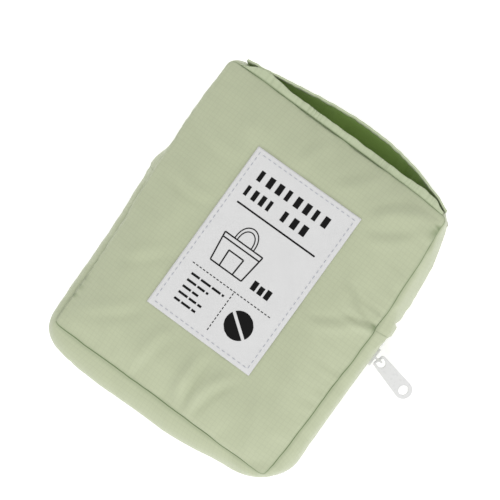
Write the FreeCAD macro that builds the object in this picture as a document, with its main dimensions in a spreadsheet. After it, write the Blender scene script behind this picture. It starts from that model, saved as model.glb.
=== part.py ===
import FreeCAD, Part
import math
import os
import re

import Sketcher

# A packable tote bag, folded away in its own zipped pouch.  Millimetres, +Z up out of the front panel,
# +X to the wearer's right, +Y to the pouch's top; the origin is the middle of the face that it rests on.
# "Outward" is the distance past the outline of the front seam, which every side wall is measured from.

DIMENSIONS = (
    ("panel_width", 130, "front panel between its side seams"),
    ("panel_length", 157, "front panel between its top and bottom seams"),
    ("seam_corner", 8, "radius of the panels' corners"),
    ("cloth", 0.8, "a padded fabric wall"),
    ("cross_level", 13, "height of the seams that cross the two sides"),
    ("back_level", 2.2, "depth of the seam at the back panel"),
    ("front_level", 37.8, "depth of the seam at the front panel"),
    ("top_bow", 37.45, "radius of the top gusset's bulge across its width"),
    ("front_bow", 15.5, "radius of the front gusset's bulge"),
    ("rear_bow", 8, "radius of the rear gusset's bulge"),
    ("tape_outward", 7, "outer face of the zip tapes"),
    ("tape_thickness", 0.6, "zip tape"),
    ("tape_rear_level", 5.6, "where the rear tape is sewn"),
    ("tape_front_level", 17.2, "where the front tape is sewn"),
    ("zip_level", 11, "middle of the zip"),
    ("zip_gap", 0.6, "half of the gap that the slider's post runs in"),
    ("coil_width", 2.4, "one side of the closed coil"),
    ("coil_height", 2.2, "height of the coil on its tape"),
    ("coil_level", 8.5, "where the coils end below the crossing seams"),
    ("stop_length", 2, "end stop along the coil"),
    ("stop_height", 2.6, "end stop on its tape"),
    ("panel_level", 38, "underside of the front panel's edge"),
    ("shoulder_inset", 6, "how far in the front panel's shoulder is"),
    ("shoulder_rise", 3, "height of that shoulder"),
    ("crown_inset", 20, "how far in the crown of the front panel is"),
    ("crown_rise", 5.5, "height of the front panel's crown"),
    ("label_width", 63, "woven label"),
    ("label_length", 95, "woven label"),
    ("label_thickness", 0.4, "woven label"),
    ("label_aside", 0.5, "middle of the label to the right of the panel's"),
    ("label_above", 5.5, "middle of the label above the panel's"),
    ("back_gap", 0.4, "room in the flat sleeve behind the back panel"),
    ("binding_inset", 1, "bound seam allowance, from the seam inwards"),
    ("binding_width", 2, "bound seam allowance"),
    ("back_binding_level", 2.3, "underside of the back seam's binding"),
    ("front_binding_level", 35.3, "underside of the front seam's binding"),
    ("facing_half_length", 62, "half of the facing along the top edge"),
    ("facing_start", 0.6, "inner edge of that facing, outward of the seam"),
    ("facing_end", 4.7, "outer edge of that facing"),
    ("facing_level", 36.9, "underside of that facing"),
    ("mouth_left", 61, "left end of the sleeve's mouth"),
    ("mouth_right", 66, "right end of the sleeve's mouth"),
    ("mouth_crest", 11.7, "where the mouth gapes most"),
    ("mouth_foot", 83.7, "outer face of the mouth's wall at its ends"),
    ("mouth_rise", 6.3, "how far the wall bows out between its ends"),
    ("mouth_level", 36.5, "edge of the mouth"),
    ("hem_width", 5, "hem round the mouth"),
    ("slider_place", 1.5, "middle of the closed slider along its side"),
    ("slider_length", 10, "slider along the zip"),
    ("slider_clearance", 0.3, "slider to tape and coil"),
    ("inner_plate", 1.3, "slider's plate under the tapes"),
    ("inner_plate_width", 6, "slider's plate under the tapes"),
    ("inner_plate_corner", 1.5, "corners of that plate"),
    ("outer_plate", 1.2, "slider's plate over the coils"),
    ("outer_plate_corner", 2, "corners of that plate"),
    ("flange", 0.9, "slider's side flange"),
    ("flange_inset", 1, "slider's end to the end of its flange"),
    ("post_length", 3, "slider's post along the zip"),
    ("post_width", 0.6, "slider's post"),
    ("post_inset", 0.5, "slider's end to its post"),
    ("bail_window", 3.3, "room under the slider's bail"),
    ("bail_half_width", 1.9, "half of the room between the bail's legs"),
    ("bail_bar", 0.9, "bar of the bail"),
    ("bail_width", 1.2, "bail along the zip"),
    ("pull_outward", 12.6, "crossbar of the pull"),
    ("pull_thickness", 1.2, "pull"),
    ("pull_base_width", 7.3, "pull at its crossbar"),
    ("pull_end_radius", 4.75, "round end of the pull"),
    ("pull_reach", 25.8, "crossbar to the tip of the pull"),
    ("pull_corner", 1.5, "corners beside the crossbar"),
    ("pull_hole", 2.6, "radius of the hole in the pull's end"),
    ("pull_edge", 0.3, "rounded edge of the pull"),
    ("eye_width", 4.2, "eye that the bail runs through"),
    ("eye_length", 4, "eye that the bail runs through"),
    ("pull_droop", 22, "slope of the resting pull, degrees below level"),
    ("pull_yaw", 15, "turn of the resting pull towards the bottom, degrees"),
    ("tote_width", 118, "folded tote"),
    ("tote_length", 144, "folded tote"),
    ("tote_level", 4.6, "underside of the folded tote"),
    ("tote_layer", 4.6, "one packed layer of the tote"),
    ("tote_gap", 0.6, "between two layers"),
    ("hem_strip", 0.6, "tote's mouth hem and patches"),
    ("tote_hem_width", 10, "tote's mouth hem"),
    ("tote_hem_aside", 3, "tote's sides to the ends of that hem"),
    ("tote_hem_below", 4, "tote's lower end to that hem"),
    ("handle_width", 20, "tote's handle"),
    ("handle_thickness", 1.2, "tote's handle"),
    ("handle_bend", 45, "outer radius of a folded handle"),
    ("handle_foot", 50, "where the handles end, below the middle"),
    ("handle_turn", 18, "where the handles start to bend, above the middle"),
    ("patch_size", 24, "patch under a handle's end"),
    ("anchor_width", 12, "tape that ties the tote to its pouch"),
    ("anchor_level", 33, "underside of that tape"),
    ("slip", 0.1, "between pieces laid on each other"),
)
TOTE_LAYERS = 6
SAME = 1e-6

V = FreeCAD.Vector
doc = FreeCAD.newDocument("PackedTote")
sheet = doc.addObject("Spreadsheet::Sheet", "Dims")
for row, (alias, size, meaning) in enumerate(DIMENSIONS, start=1):
    sheet.set(f"A{row}", meaning)
    sheet.set(f"B{row}", str(size))
    sheet.setAlias(f"B{row}", alias)
doc.recompute()
subparts = []


def value(expression):
    """The number that an expression of the sheet's aliases gives."""
    return float(sheet.evalExpression(str(expression)))


def bound(expression):
    """The same expression as another object has to write it."""
    return re.sub(r"\b([a-z][a-z_]+)\b", r"Dims.\1", str(expression))


def keep(thing, label):
    """Make a finished object one of the sub-parts."""
    thing.Label = label
    subparts.append(thing)
    return thing


# Sketches ------------------------------------------------------------------------------------------

def draw(sketch, points, arcs=None):
    """Lines and arcs through the points; arcs maps an edge to its radius and side (+1 left, -1 right)."""
    arcs = arcs or {}
    spots = [V(value(x), value(y), 0) for x, y in points]
    count = len(points)
    starts, ends = [], []
    for edge in range(count):
        begin, finish = spots[edge], spots[(edge + 1) % count]
        if edge not in arcs:
            line = sketch.addGeometry(Part.LineSegment(begin, finish))
            starts.append((line, 1))
            ends.append((line, 2))
            continue
        radius_text, side = arcs[edge]
        radius = value(radius_text)
        chord = finish - begin
        across = V(-chord.y, chord.x, 0).normalize()
        depth = math.sqrt(max(radius ** 2 - chord.Length ** 2 / 4, 0))
        centre = (begin + finish) * 0.5 - across * depth * side
        first, last = (finish, begin) if side > 0 else (begin, finish)
        low = math.atan2(first.y - centre.y, first.x - centre.x)
        high = math.atan2(last.y - centre.y, last.x - centre.x)
        high += 2 * math.pi if high < low else 0
        circle = Part.Circle(centre, V(0, 0, 1), radius)
        arc = sketch.addGeometry(Part.ArcOfCircle(circle, low, high))
        starts.append((arc, 2 if side > 0 else 1))
        ends.append((arc, 1 if side > 0 else 2))
        rule = sketch.addConstraint(Sketcher.Constraint("Radius", arc, radius))
        sketch.setExpression(f"Constraints[{rule}]", bound(radius_text))
    for spot, pair in zip(starts, points):
        for axis, text, own_axis in (("X", pair[0], -2), ("Y", pair[1], -1)):
            if value(text) == 0:
                sketch.addConstraint(Sketcher.Constraint("PointOnObject", *spot, own_axis))
                continue
            rule = sketch.addConstraint(Sketcher.Constraint("Distance" + axis, -1, 1, *spot, value(text)))
            sketch.setExpression(f"Constraints[{rule}]", bound(text))
    for edge in range(count):
        sketch.addConstraint(Sketcher.Constraint("Coincident", *ends[edge], *starts[(edge + 1) % count]))


def origin_plane(body, role):
    return [feature for feature in body.Origin.OriginFeatures if feature.Role == role][0]


def sketch_on(body, role, lift="0", aside="0"):
    """An empty sketch on one of the body's own planes, moved along its normal and sideways."""
    sketch = body.newObject("Sketcher::SketchObject", "Sketch")
    sketch.AttachmentSupport = (origin_plane(body, role), [""])
    sketch.MapMode = "FlatFace"
    sketch.setExpression("AttachmentOffset.Base.z", bound(lift))
    sketch.setExpression("AttachmentOffset.Base.x", bound(aside))
    return sketch


def outline_on(body, role, points, arcs=None, lift="0", aside="0"):
    sketch = sketch_on(body, role, lift, aside)
    draw(sketch, points, arcs)
    return sketch


def rectangle(low, high):
    return [(low[0], low[1]), (high[0], low[1]), (high[0], high[1]), (low[0], high[1])]


def rounded(half_width, half_length, radius):
    """A rectangle about the origin with round corners, as points and arcs."""
    points = []
    for side_x, side_y, along_first in ((1, -1, 1), (1, 1, 0), (-1, 1, 1), (-1, -1, 0)):
        inner_x = f"{side_x}*({half_width}-({radius}))"
        inner_y = f"{side_y}*({half_length}-({radius}))"
        corner = [(inner_x, f"{side_y}*({half_length})"), (f"{side_x}*({half_width})", inner_y)]
        points += corner if along_first else corner[::-1]
    return points, {edge: (radius, -1) for edge in (0, 2, 4, 6)}


# Features ------------------------------------------------------------------------------------------

def pad(body, sketch, length, midplane=False):
    feature = body.newObject("PartDesign::Pad", "Pad")
    feature.Profile = sketch
    feature.setExpression("Length", bound(length))
    feature.SideType = "Symmetric" if midplane else "One side"
    return feature


def cut(body, sketch, length):
    """A pocket through both sides of its sketch, so that its direction can't miss the solid."""
    feature = body.newObject("PartDesign::Pocket", "Pocket")
    feature.Profile = sketch
    feature.setExpression("Length", bound(length))
    feature.SideType = "Symmetric"
    return feature


def plate(label, outline, lift, thickness, holes=()):
    """A flat piece: an outline with its holes, drawn level and padded upwards."""
    body = doc.addObject("PartDesign::Body", "Body")
    sketch = sketch_on(body, "XY_Plane", lift)
    for points, arcs in (outline, *holes):
        draw(sketch, points, arcs)
    pad(body, sketch, thickness)
    return keep(body, label)


def band(label, level, profile, arcs=None, over_top=False):
    """A strip of this profile (outward, up) that runs round three sides from one side's level.

    The profile stands at a corner: one leg is padded from it, the corner turned from it, half of the
    end run padded from the corner's face, and the other half of the strip mirrored."""
    body = doc.addObject("PartDesign::Body", "Body")
    aside = "panel_width/2-seam_corner"
    turn = "panel_length/2-seam_corner"
    section = [(f"seam_corner+{outward}", height) for outward, height in profile]
    lift = f"-({turn})" if over_top else turn
    sketch = outline_on(body, "XZ_Plane", section, arcs, lift, aside)
    leg = pad(body, sketch, f"{turn}-{level}" if over_top else f"{turn}+{level}")
    leg.Reversed = not over_top
    corner = body.newObject("PartDesign::Revolution", "Corner")
    corner.Profile = sketch
    corner.ReferenceAxis = (sketch, ["V_Axis"])
    corner.Angle = 90
    corner.Reversed = not over_top
    doc.recompute()
    faces = enumerate(corner.Shape.Faces, start=1)
    end = [number for number, face in faces if abs(face.CenterOfMass.x - value(aside)) < SAME]
    run = pad(body, (corner, [f"Face{end[0]}"]), aside)
    mirror = body.newObject("PartDesign::Mirrored", "OtherHalf")
    mirror.Originals = [leg, corner, run]
    mirror.MirrorPlane = (origin_plane(body, "YZ_Plane"), [""])
    body.Tip = mirror
    return keep(body, label)


def block(low, size):
    """A box with its low corner and its sizes bound to the sheet."""
    box = doc.addObject("Part::Box", "Block")
    for name, length in zip(("Length", "Width", "Height"), size):
        box.setExpression(name, bound(length))
    for axis, place in zip("xyz", low):
        box.setExpression(f"Placement.Base.{axis}", bound(place))
    return box


def group(label, boxes):
    """Separate like solids that share one sub-part."""
    compound = doc.addObject("Part::Compound", "Group")
    compound.Links = boxes
    return keep(compound, label)


# Front panel and its label -------------------------------------------------------------------------

PANEL = ("panel_width/2", "panel_length/2")


def crown(body, kind, drop):
    """The puffed-up front panel as a loft from its seam over the shoulder to the crown."""
    sketches = []
    for inset, rise in (("0", "0"), ("shoulder_inset", "shoulder_rise"), ("crown_inset", "crown_rise")):
        points, arcs = rounded(f"{PANEL[0]}-{inset}", f"{PANEL[1]}-{inset}", "seam_corner")
        sketches.append(outline_on(body, "XY_Plane", points, arcs, f"panel_level+{rise}-{drop}"))
    loft = body.newObject(kind, "Crown")
    loft.Profile = sketches[0]
    loft.Sections = sketches[1:]


def front_panel():
    body = doc.addObject("PartDesign::Body", "Body")
    crown(body, "PartDesign::AdditiveLoft", "0")
    crown(body, "PartDesign::SubtractiveLoft", "cloth")
    keep(body, "front_panel")


def label():
    corners = rectangle(
        ("label_aside-label_width/2", "label_above-label_length/2"),
        ("label_aside+label_width/2", "label_above+label_length/2"))
    plate("label", (corners, None), "panel_level+crown_rise", "label_thickness")


# Side walls ----------------------------------------------------------------------------------------

def gussets():
    band("gusset_top", "cross_level", [
        ("0", "back_level"), ("0", "front_level"),
        ("-cloth", "front_level"), ("-cloth", "back_level"),
    ], {0: ("top_bow", -1), 2: ("top_bow", 1)}, over_top=True)
    band("gusset_front", "cross_level", [
        ("tape_outward", "tape_front_level"), ("0", "front_level"),
        ("-cloth", "front_level"), ("tape_outward-cloth", "tape_front_level"),
    ], {0: ("front_bow", -1), 2: ("front_bow", 1)})
    band("gusset_rear", "cross_level", [
        ("0", "back_level"), ("tape_outward", "tape_rear_level-cloth"),
        ("tape_outward", "tape_rear_level"), ("0", "back_level+cloth"),
    ], {0: ("rear_bow", -1), 2: ("rear_bow", 1)})


def seam_bindings():
    outer = rounded(f"{PANEL[0]}-binding_inset", f"{PANEL[1]}-binding_inset", "seam_corner-binding_inset")
    reach = "binding_inset-binding_width"
    inner = rounded(f"{PANEL[0]}-{reach}", f"{PANEL[1]}-{reach}", f"seam_corner-{reach}")
    for side in ("back", "front"):
        plate(f"{side}_seam_binding", outer, f"{side}_binding_level", "binding_width", [inner])
    height = "front_binding_level-back_binding_level-binding_width-2*slip"
    for side, inner_edge in (("left", "binding_inset-panel_width/2"),
                             ("right", "panel_width/2-binding_inset-binding_width")):
        low = (inner_edge, "cross_level-binding_width/2", "back_binding_level+binding_width+slip")
        keep(block(low, ("binding_width", "binding_width", height)), f"cross_seam_binding_{side}")


def back_layers():
    points, arcs = rounded(*PANEL, "seam_corner")
    plate("back_panel", (points, arcs), "cloth+back_gap", "cloth")
    half, end, corner = "panel_width/2", "panel_length/2", "seam_corner"
    points = [
        (f"-{half}", f"{corner}-{end}"),
        (f"{corner}-{half}", f"-{end}"),
        (f"{half}-{corner}", f"-{end}"),
        (half, f"{corner}-{end}"),
        (half, f"{end}-{corner}"),
        ("mouth_right", "mouth_foot"),
        ("mouth_crest", "mouth_foot+mouth_rise"),
        ("-mouth_left", "mouth_foot"),
        (f"-{half}", f"{end}-{corner}"),
    ]
    arcs = {0: (corner, -1), 2: (corner, -1), 5: (MOUTH_BOWS[0], -1), 6: (MOUTH_BOWS[1], -1)}
    plate("back_sleeve", (points, arcs), "0", "cloth")


# Sleeve mouth --------------------------------------------------------------------------------------

MOUTH_BOWS = [
    f"({reach}*{reach}+mouth_rise*mouth_rise)/(2*mouth_rise)"
    for reach in ("(mouth_right-mouth_crest)", "(mouth_left+mouth_crest)")
]


def mouth_outline(inner, outer):
    """The plan of a bowed strip between two distances from the wall's outer face."""
    points = [
        ("mouth_right", f"mouth_foot+{outer}"),
        ("mouth_crest", f"mouth_foot+mouth_rise+{outer}"),
        ("-mouth_left", f"mouth_foot+{outer}"),
        ("-mouth_left", f"mouth_foot+{inner}"),
        ("mouth_crest", f"mouth_foot+mouth_rise+{inner}"),
        ("mouth_right", f"mouth_foot+{inner}"),
    ]
    right, left = MOUTH_BOWS
    return points, {0: (right, -1), 1: (left, -1), 3: (left, 1), 4: (right, 1)}


def sleeve_mouth():
    plate("sleeve_mouth_wall", mouth_outline("-cloth", "0"), "cloth", "mouth_level-cloth")
    plate("sleeve_hem", mouth_outline("0", "cloth"), "mouth_level-hem_width", "hem_width")
    low = ("-facing_half_length", "panel_length/2+facing_start", "facing_level")
    size = ("2*facing_half_length", "facing_end-facing_start", "cloth")
    keep(block(low, size), "top_facing")


# Zip -----------------------------------------------------------------------------------------------

def zip_side(side, sign, sewn):
    """One tape with its coil; sign is +1 towards the front."""
    edge = f"zip_level+({sign})*zip_gap"
    tape_inner = "tape_outward-tape_thickness"
    band(f"zip_tape_{side}", "cross_level", rectangle((tape_inner, edge), ("tape_outward", sewn)))
    outer_edge = f"{edge}+({sign})*coil_width"
    coil_top = "tape_outward+coil_height"
    band(f"zip_coil_{side}", "coil_level", rectangle(("tape_outward", edge), (coil_top, outer_edge)))


def zip_stops():
    """Blocks at the coils' ends: one on each coil at the right, one across both at the left."""
    foot = "panel_width/2+tape_outward"
    size = ("stop_height", "stop_length", "coil_width")
    rear = block((foot, "coil_level", "zip_level-zip_gap-coil_width"), size)
    front = block((foot, "coil_level", "zip_level+zip_gap"), size)
    group("zip_top_stops", [rear, front])
    low = (f"-{foot.replace('+', '-')}-stop_height", "coil_level", "zip_level-zip_gap-coil_width")
    size = ("stop_height", "stop_length", "2*(zip_gap+coil_width)")
    keep(block(low, size), "zip_bottom_stop")


def slider_body():
    """Plates over and under the closed coils, joined by the post, with a bail across the top."""
    body = doc.addObject("PartDesign::Body", "Body")
    middle, half = "slider_place", "slider_length/2"
    under = "panel_width/2+tape_outward-tape_thickness-slider_clearance-inner_plate"
    flange_foot = "panel_width/2+tape_outward+slider_clearance"
    over = "panel_width/2+tape_outward+coil_height+slider_clearance"
    flange_inner = "(zip_gap+coil_width+slider_clearance)"
    flange_outer = f"({flange_inner}+flange)"

    def slab(points, arcs, lift, height):
        pad(body, outline_on(body, "YZ_Plane", points, arcs, lift), height)

    points, arcs = rounded(half, flange_outer, "outer_plate_corner")
    shifted = [(f"{middle}+{x}", f"zip_level+{y}") for x, y in points]
    slab(shifted, arcs, over, "outer_plate")
    for sign in ("-1", "1"):
        corners = rectangle(
            (f"{middle}-({half}-flange_inset)", f"zip_level+({sign})*{flange_inner}"),
            (f"{middle}+({half}-flange_inset)", f"zip_level+({sign})*{flange_outer}"))
        slab(corners, None, flange_foot, f"{over}-({flange_foot})")
    corners = rectangle(
        (f"{middle}+{half}-post_length", "zip_level-post_width/2"),
        (f"{middle}+{half}-post_inset", "zip_level+post_width/2"))
    slab(corners, None, f"{under}+inner_plate", f"{over}-({under}+inner_plate)")
    points, arcs = rounded(half, "inner_plate_width/2", "inner_plate_corner")
    shifted = [(f"{middle}+{x}", f"zip_level+{y}") for x, y in points]
    slab(shifted, arcs, under, "inner_plate")
    bail = sketch_on(body, "XZ_Plane", f"-{middle}")
    top = f"{over}+outer_plate"
    legs = "(bail_half_width+bail_bar)"
    draw(bail, [
        (top, f"zip_level-{legs}"), (f"{top}+bail_window", f"zip_level-{legs}"),
        (f"{top}+bail_window+bail_bar", "zip_level-bail_half_width"),
        (f"{top}+bail_window+bail_bar", "zip_level+bail_half_width"),
        (f"{top}+bail_window", f"zip_level+{legs}"), (top, f"zip_level+{legs}"),
        (top, "zip_level+bail_half_width"), (f"{top}+bail_window", "zip_level+bail_half_width"),
        (f"{top}+bail_window", "zip_level-bail_half_width"), (top, "zip_level-bail_half_width"),
    ], {1: ("bail_bar", 1), 3: ("bail_bar", 1)})
    pad(body, bail, "bail_width", midplane=True)
    keep(body, "slider_body")


def zip_pull():
    """The pull about its crossbar: drawn level, pointing outward, then drooped and turned.

    Its outline and its eye are rounded over; the round hole in its end keeps a plain bore."""
    body = doc.addObject("PartDesign::Body", "Body")
    base, tip = "-pull_thickness/2", "pull_reach"
    wide, corner = "pull_base_width/2", "pull_corner"
    end, through = "pull_reach-pull_end_radius", "3*pull_thickness"
    outline = outline_on(body, "XY_Plane", [
        (base, f"{corner}-{wide}"), (f"{base}+{corner}", f"-{wide}"),
        (end, "-pull_end_radius"), (tip, "0"), (end, "pull_end_radius"),
        (f"{base}+{corner}", wide), (base, f"{wide}-{corner}"),
    ], {0: (corner, -1), 2: ("pull_end_radius", -1), 3: ("pull_end_radius", -1), 5: (corner, -1)})
    pad(body, outline, "pull_thickness", midplane=True)
    hole = sketch_on(body, "XY_Plane")
    circle = hole.addGeometry(Part.Circle(V(value(end), 0, 0), V(0, 0, 1), value("pull_hole")))
    hole.addConstraint(Sketcher.Constraint("PointOnObject", circle, 3, -1))
    for kind, place, text in (("Radius", (circle,), "pull_hole"), ("DistanceX", (-1, 1, circle, 3), end)):
        rule = hole.addConstraint(Sketcher.Constraint(kind, *place, value(text)))
        hole.setExpression(f"Constraints[{rule}]", bound(text))
    cut(body, hole, through)
    near, side = "pull_thickness/2", "eye_width/2"
    far = f"{near}+eye_length"
    eye = outline_on(body, "XY_Plane", [
        (near, f"-{side}"), (f"{far}-{side}", f"-{side}"), (far, "0"),
        (f"{far}-{side}", side), (near, side),
    ], {1: (side, -1), 2: (side, -1)})
    cut(body, eye, through)
    doc.recompute()
    rim = 2 * math.pi * value("pull_hole")
    edges = []
    for number, edge in enumerate(body.Shape.Edges, start=1):
        on_face = all(abs(abs(spot.Point.z) - value("pull_thickness/2")) < SAME for spot in edge.Vertexes)
        level = edge.BoundBox.ZLength < SAME
        if on_face and level and abs(edge.Length - rim) > SAME:
            edges.append(f"Edge{number}")
    plain = body.Tip
    rounding = body.newObject("PartDesign::Fillet", "Rounding")
    rounding.Base = (plain, edges)
    rounding.setExpression("Radius", bound("pull_edge"))
    droop = FreeCAD.Rotation(V(0, 1, 0), value("pull_droop"))
    yaw = FreeCAD.Rotation(V(0, 0, 1), -value("pull_yaw"))
    body.Placement.Rotation = yaw.multiply(droop)
    for axis, place in (("x", "panel_width/2+pull_outward"), ("y", "slider_place"), ("z", "zip_level")):
        body.setExpression(f"Placement.Base.{axis}", bound(place))
    keep(body, "zip_pull")


# The folded tote inside ----------------------------------------------------------------------------

def tote_body():
    """The tote folded to and fro: a stack of layers, each joined to the next at one end."""
    body = doc.addObject("PartDesign::Body", "Body")
    half = "tote_length/2"
    pitch = "(tote_layer+tote_gap)"
    top = f"tote_level+{TOTE_LAYERS - 1}*{pitch}+tote_layer"

    def slit(below, open_sign):
        low = f"tote_level+{below}*{pitch}+tote_layer"
        high = f"tote_level+{below + 1}*{pitch}"
        mouth, fold = f"{open_sign}{half}", f"{'-' if open_sign == '' else ''}({half}-tote_layer)"
        return [(mouth, low), (fold, low), (fold, high), (mouth, high)]

    points = [(f"-{half}", "tote_level"), (half, "tote_level")]
    for below in range(1, TOTE_LAYERS - 1, 2):
        points += slit(below, "")
    points += [(half, top), (f"-{half}", top)]
    for below in reversed(range(0, TOTE_LAYERS - 1, 2)):
        points += slit(below, "-")[::-1]
    pad(body, outline_on(body, "YZ_Plane", points), "tote_width", midplane=True)
    keep(body, "tote_body")
    return top


def tote_trimmings(top):
    """Hem, handles and their patches, laid flat on the folded tote, and the tape that ties it down."""
    half = "tote_length/2"
    low = ("tote_hem_aside-tote_width/2", f"tote_hem_below-{half}", f"{top}+slip")
    keep(block(low, ("tote_width-2*tote_hem_aside", "tote_hem_width", "hem_strip")), "tote_mouth_hem")
    first = f"{top}+hem_strip+2*slip"
    inner_bend = "handle_bend-handle_width"
    points = [
        ("handle_bend", "-handle_foot"), ("handle_bend", "handle_turn"),
        ("0", "handle_turn+handle_bend"), ("-handle_bend", "handle_turn"),
        ("-handle_bend", "-handle_foot"), (f"-({inner_bend})", "-handle_foot"),
        (f"-({inner_bend})", "handle_turn"), ("0", f"handle_turn+{inner_bend}"),
        (inner_bend, "handle_turn"), (inner_bend, "-handle_foot"),
    ]
    arcs = {1: ("handle_bend", 1), 2: ("handle_bend", 1), 6: (inner_bend, -1), 7: (inner_bend, -1)}
    arcs = {edge: (radius, -side) for edge, (radius, side) in arcs.items()}
    second = f"{first}+handle_thickness+slip"
    plate("tote_handle_front", (points, arcs), first, "handle_thickness")
    plate("tote_handle_back", (points, arcs), second, "handle_thickness")
    last = f"{second}+handle_thickness+slip"
    middle = "(handle_bend-handle_width/2)"
    size = ("patch_size", "patch_size", "hem_strip")
    patches = [
        block((f"{sign}{middle}-patch_size/2", "-handle_foot-slip", level), size)
        for sign in ("", "-") for level in (f"{top}+slip", last)
    ]
    group("tote_handle_patches", patches)
    low = ("-anchor_width/2", half, "anchor_level")
    size = ("anchor_width", "panel_length/2-tote_length/2-binding_inset", "handle_thickness")
    keep(block(low, size), "tote_anchor_tape")


front_panel()
label()
gussets()
seam_bindings()
back_layers()
sleeve_mouth()
zip_side("front", "1", "tape_front_level")
zip_side("rear", "-1", "tape_rear_level")
zip_stops()
slider_body()
zip_pull()
tote_trimmings(tote_body())
doc.recompute()

for thing in doc.Objects:
    if {"Invalid", "Error"} & set(thing.State):
        raise RuntimeError(f"{thing.Label} failed: {thing.State}")
for part in subparts:
    if part.Shape.isNull() or not part.Shape.isValid() or part.Shape.Volume <= 0:
        raise RuntimeError(f"{part.Label} has no good shape")
os.makedirs("parts", exist_ok=True)
for part in subparts:
    part.Shape.exportStep(f"parts/{part.Label}.step")
    box = part.Shape.optimalBoundingBox(False, False)
    print(f"{part.Label:24s} {part.Shape.Volume:10.1f}  solids {len(part.Shape.Solids)}  "
          f"x {box.XMin:.1f}..{box.XMax:.1f}  y {box.YMin:.1f}..{box.YMax:.1f}  z {box.ZMin:.1f}..{box.ZMax:.1f}")
print(len(subparts), "sub-parts")
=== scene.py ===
import math

import bpy
import numpy as np
from bpy.props import FloatProperty, FloatVectorProperty, PointerProperty
from mathutils import Matrix, Vector, noise
from mathutils.bvhtree import BVHTree


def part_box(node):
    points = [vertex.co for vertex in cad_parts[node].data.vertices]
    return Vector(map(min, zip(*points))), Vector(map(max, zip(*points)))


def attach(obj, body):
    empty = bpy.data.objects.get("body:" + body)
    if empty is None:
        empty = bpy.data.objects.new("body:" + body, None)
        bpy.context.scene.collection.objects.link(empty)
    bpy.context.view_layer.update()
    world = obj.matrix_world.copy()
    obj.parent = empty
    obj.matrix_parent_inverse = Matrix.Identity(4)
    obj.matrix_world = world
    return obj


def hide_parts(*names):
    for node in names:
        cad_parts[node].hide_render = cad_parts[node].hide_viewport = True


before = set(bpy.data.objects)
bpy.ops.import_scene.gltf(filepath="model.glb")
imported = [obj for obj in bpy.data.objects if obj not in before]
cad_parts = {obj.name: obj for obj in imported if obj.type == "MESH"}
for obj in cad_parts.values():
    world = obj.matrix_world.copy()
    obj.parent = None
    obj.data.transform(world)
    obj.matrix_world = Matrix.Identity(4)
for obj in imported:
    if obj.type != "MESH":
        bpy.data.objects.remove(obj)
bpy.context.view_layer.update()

bl_info = {
    "name": "Packed tote bag",
    "version": (1, 0, 0),
    "blender": (4, 5, 0),
    "location": "View3D > Sidebar > Tote",
    "description": "A packable tote bag folded into its own soft zipped pouch",
    "category": "Object",
}

MM = 0.001


def cad(node, axis, end):
    """One face of a CAD node's box in millimetres: axis 0 to 2, end 0 low or 1 high."""
    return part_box(node)[end][axis] / MM


HALF_WIDTH = cad("front_panel", 0, 1)
HALF_LENGTH = cad("front_panel", 1, 1)
FRONT_LEVEL = cad("gusset_top", 2, 1)
BACK_LEVEL = cad("gusset_top", 2, 0)
CROWN_LEVEL = cad("front_panel", 2, 1)
CROSS_SEAM = cad("gusset_front", 1, 1)
TOP_BULGE = cad("gusset_top", 0, 1) - HALF_WIDTH
SIDE_BULGE = cad("gusset_front", 0, 1) - HALF_WIDTH
TAPE_OUT = cad("zip_tape_front", 0, 1) - HALF_WIDTH
TAPE_TOP = cad("zip_tape_front", 2, 1)
TAPE_FOOT = cad("zip_tape_rear", 2, 0)

# cells of the front panel's grid, and rows of the walls' grid, before each is doubled
ACROSS, ALONG = 52, 62
WALL_LEVELS, TAPE_LEVELS = 9, 5
LAST_FRONT_ROW = 2 * (WALL_LEVELS - 1)
FIRST_REAR_ROW = LAST_FRONT_ROW + 2 * TAPE_LEVELS

# the empty pouch, before the filling pushes on it
TOP_WALL_SHARE, TOP_WALL_CURVE = 0.94, 2.4
LOWER_WALL_BELLY = 6.4
CROWN_REACH = 9
CROWN_BEFORE_FILLING = 0.7
TOP_ROUNDING, LOWER_LEFT_ROUNDING, LOWER_RIGHT_ROUNDING = 1.5, 1.1, 2.4


class PouchSizes(bpy.types.PropertyGroup):
    seam_corner: FloatProperty(name="Seam corner", description="Corner radius of the front seam",
                               default=2.6 * MM, unit="LENGTH")
    cloth: FloatProperty(name="Cloth", description="Thickness of a padded wall",
                         default=0.6 * MM, unit="LENGTH")
    ripstop: FloatProperty(name="Ripstop pitch", description="Distance between two ripstop threads",
                           default=2.3 * MM, unit="LENGTH")
    gather: FloatProperty(name="Gather", description="Spare cloth between the seams",
                          default=0.02, subtype="FACTOR")
    pressure: FloatProperty(name="Filling", description="How hard the packed tote pushes on the cloth",
                            default=5.0)
    stitch: FloatProperty(name="Stitch", description="Length of one stitch and its gap",
                          default=3.2 * MM, unit="LENGTH")
    coil_pitch: FloatProperty(name="Coil pitch", description="Distance between two loops of the zip coil",
                              default=1.5 * MM, unit="LENGTH")


def colour_property(name, description, default):
    return FloatVectorProperty(name=name, description=description, default=default, size=4,
                               min=0, max=1, subtype="COLOR")


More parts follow.
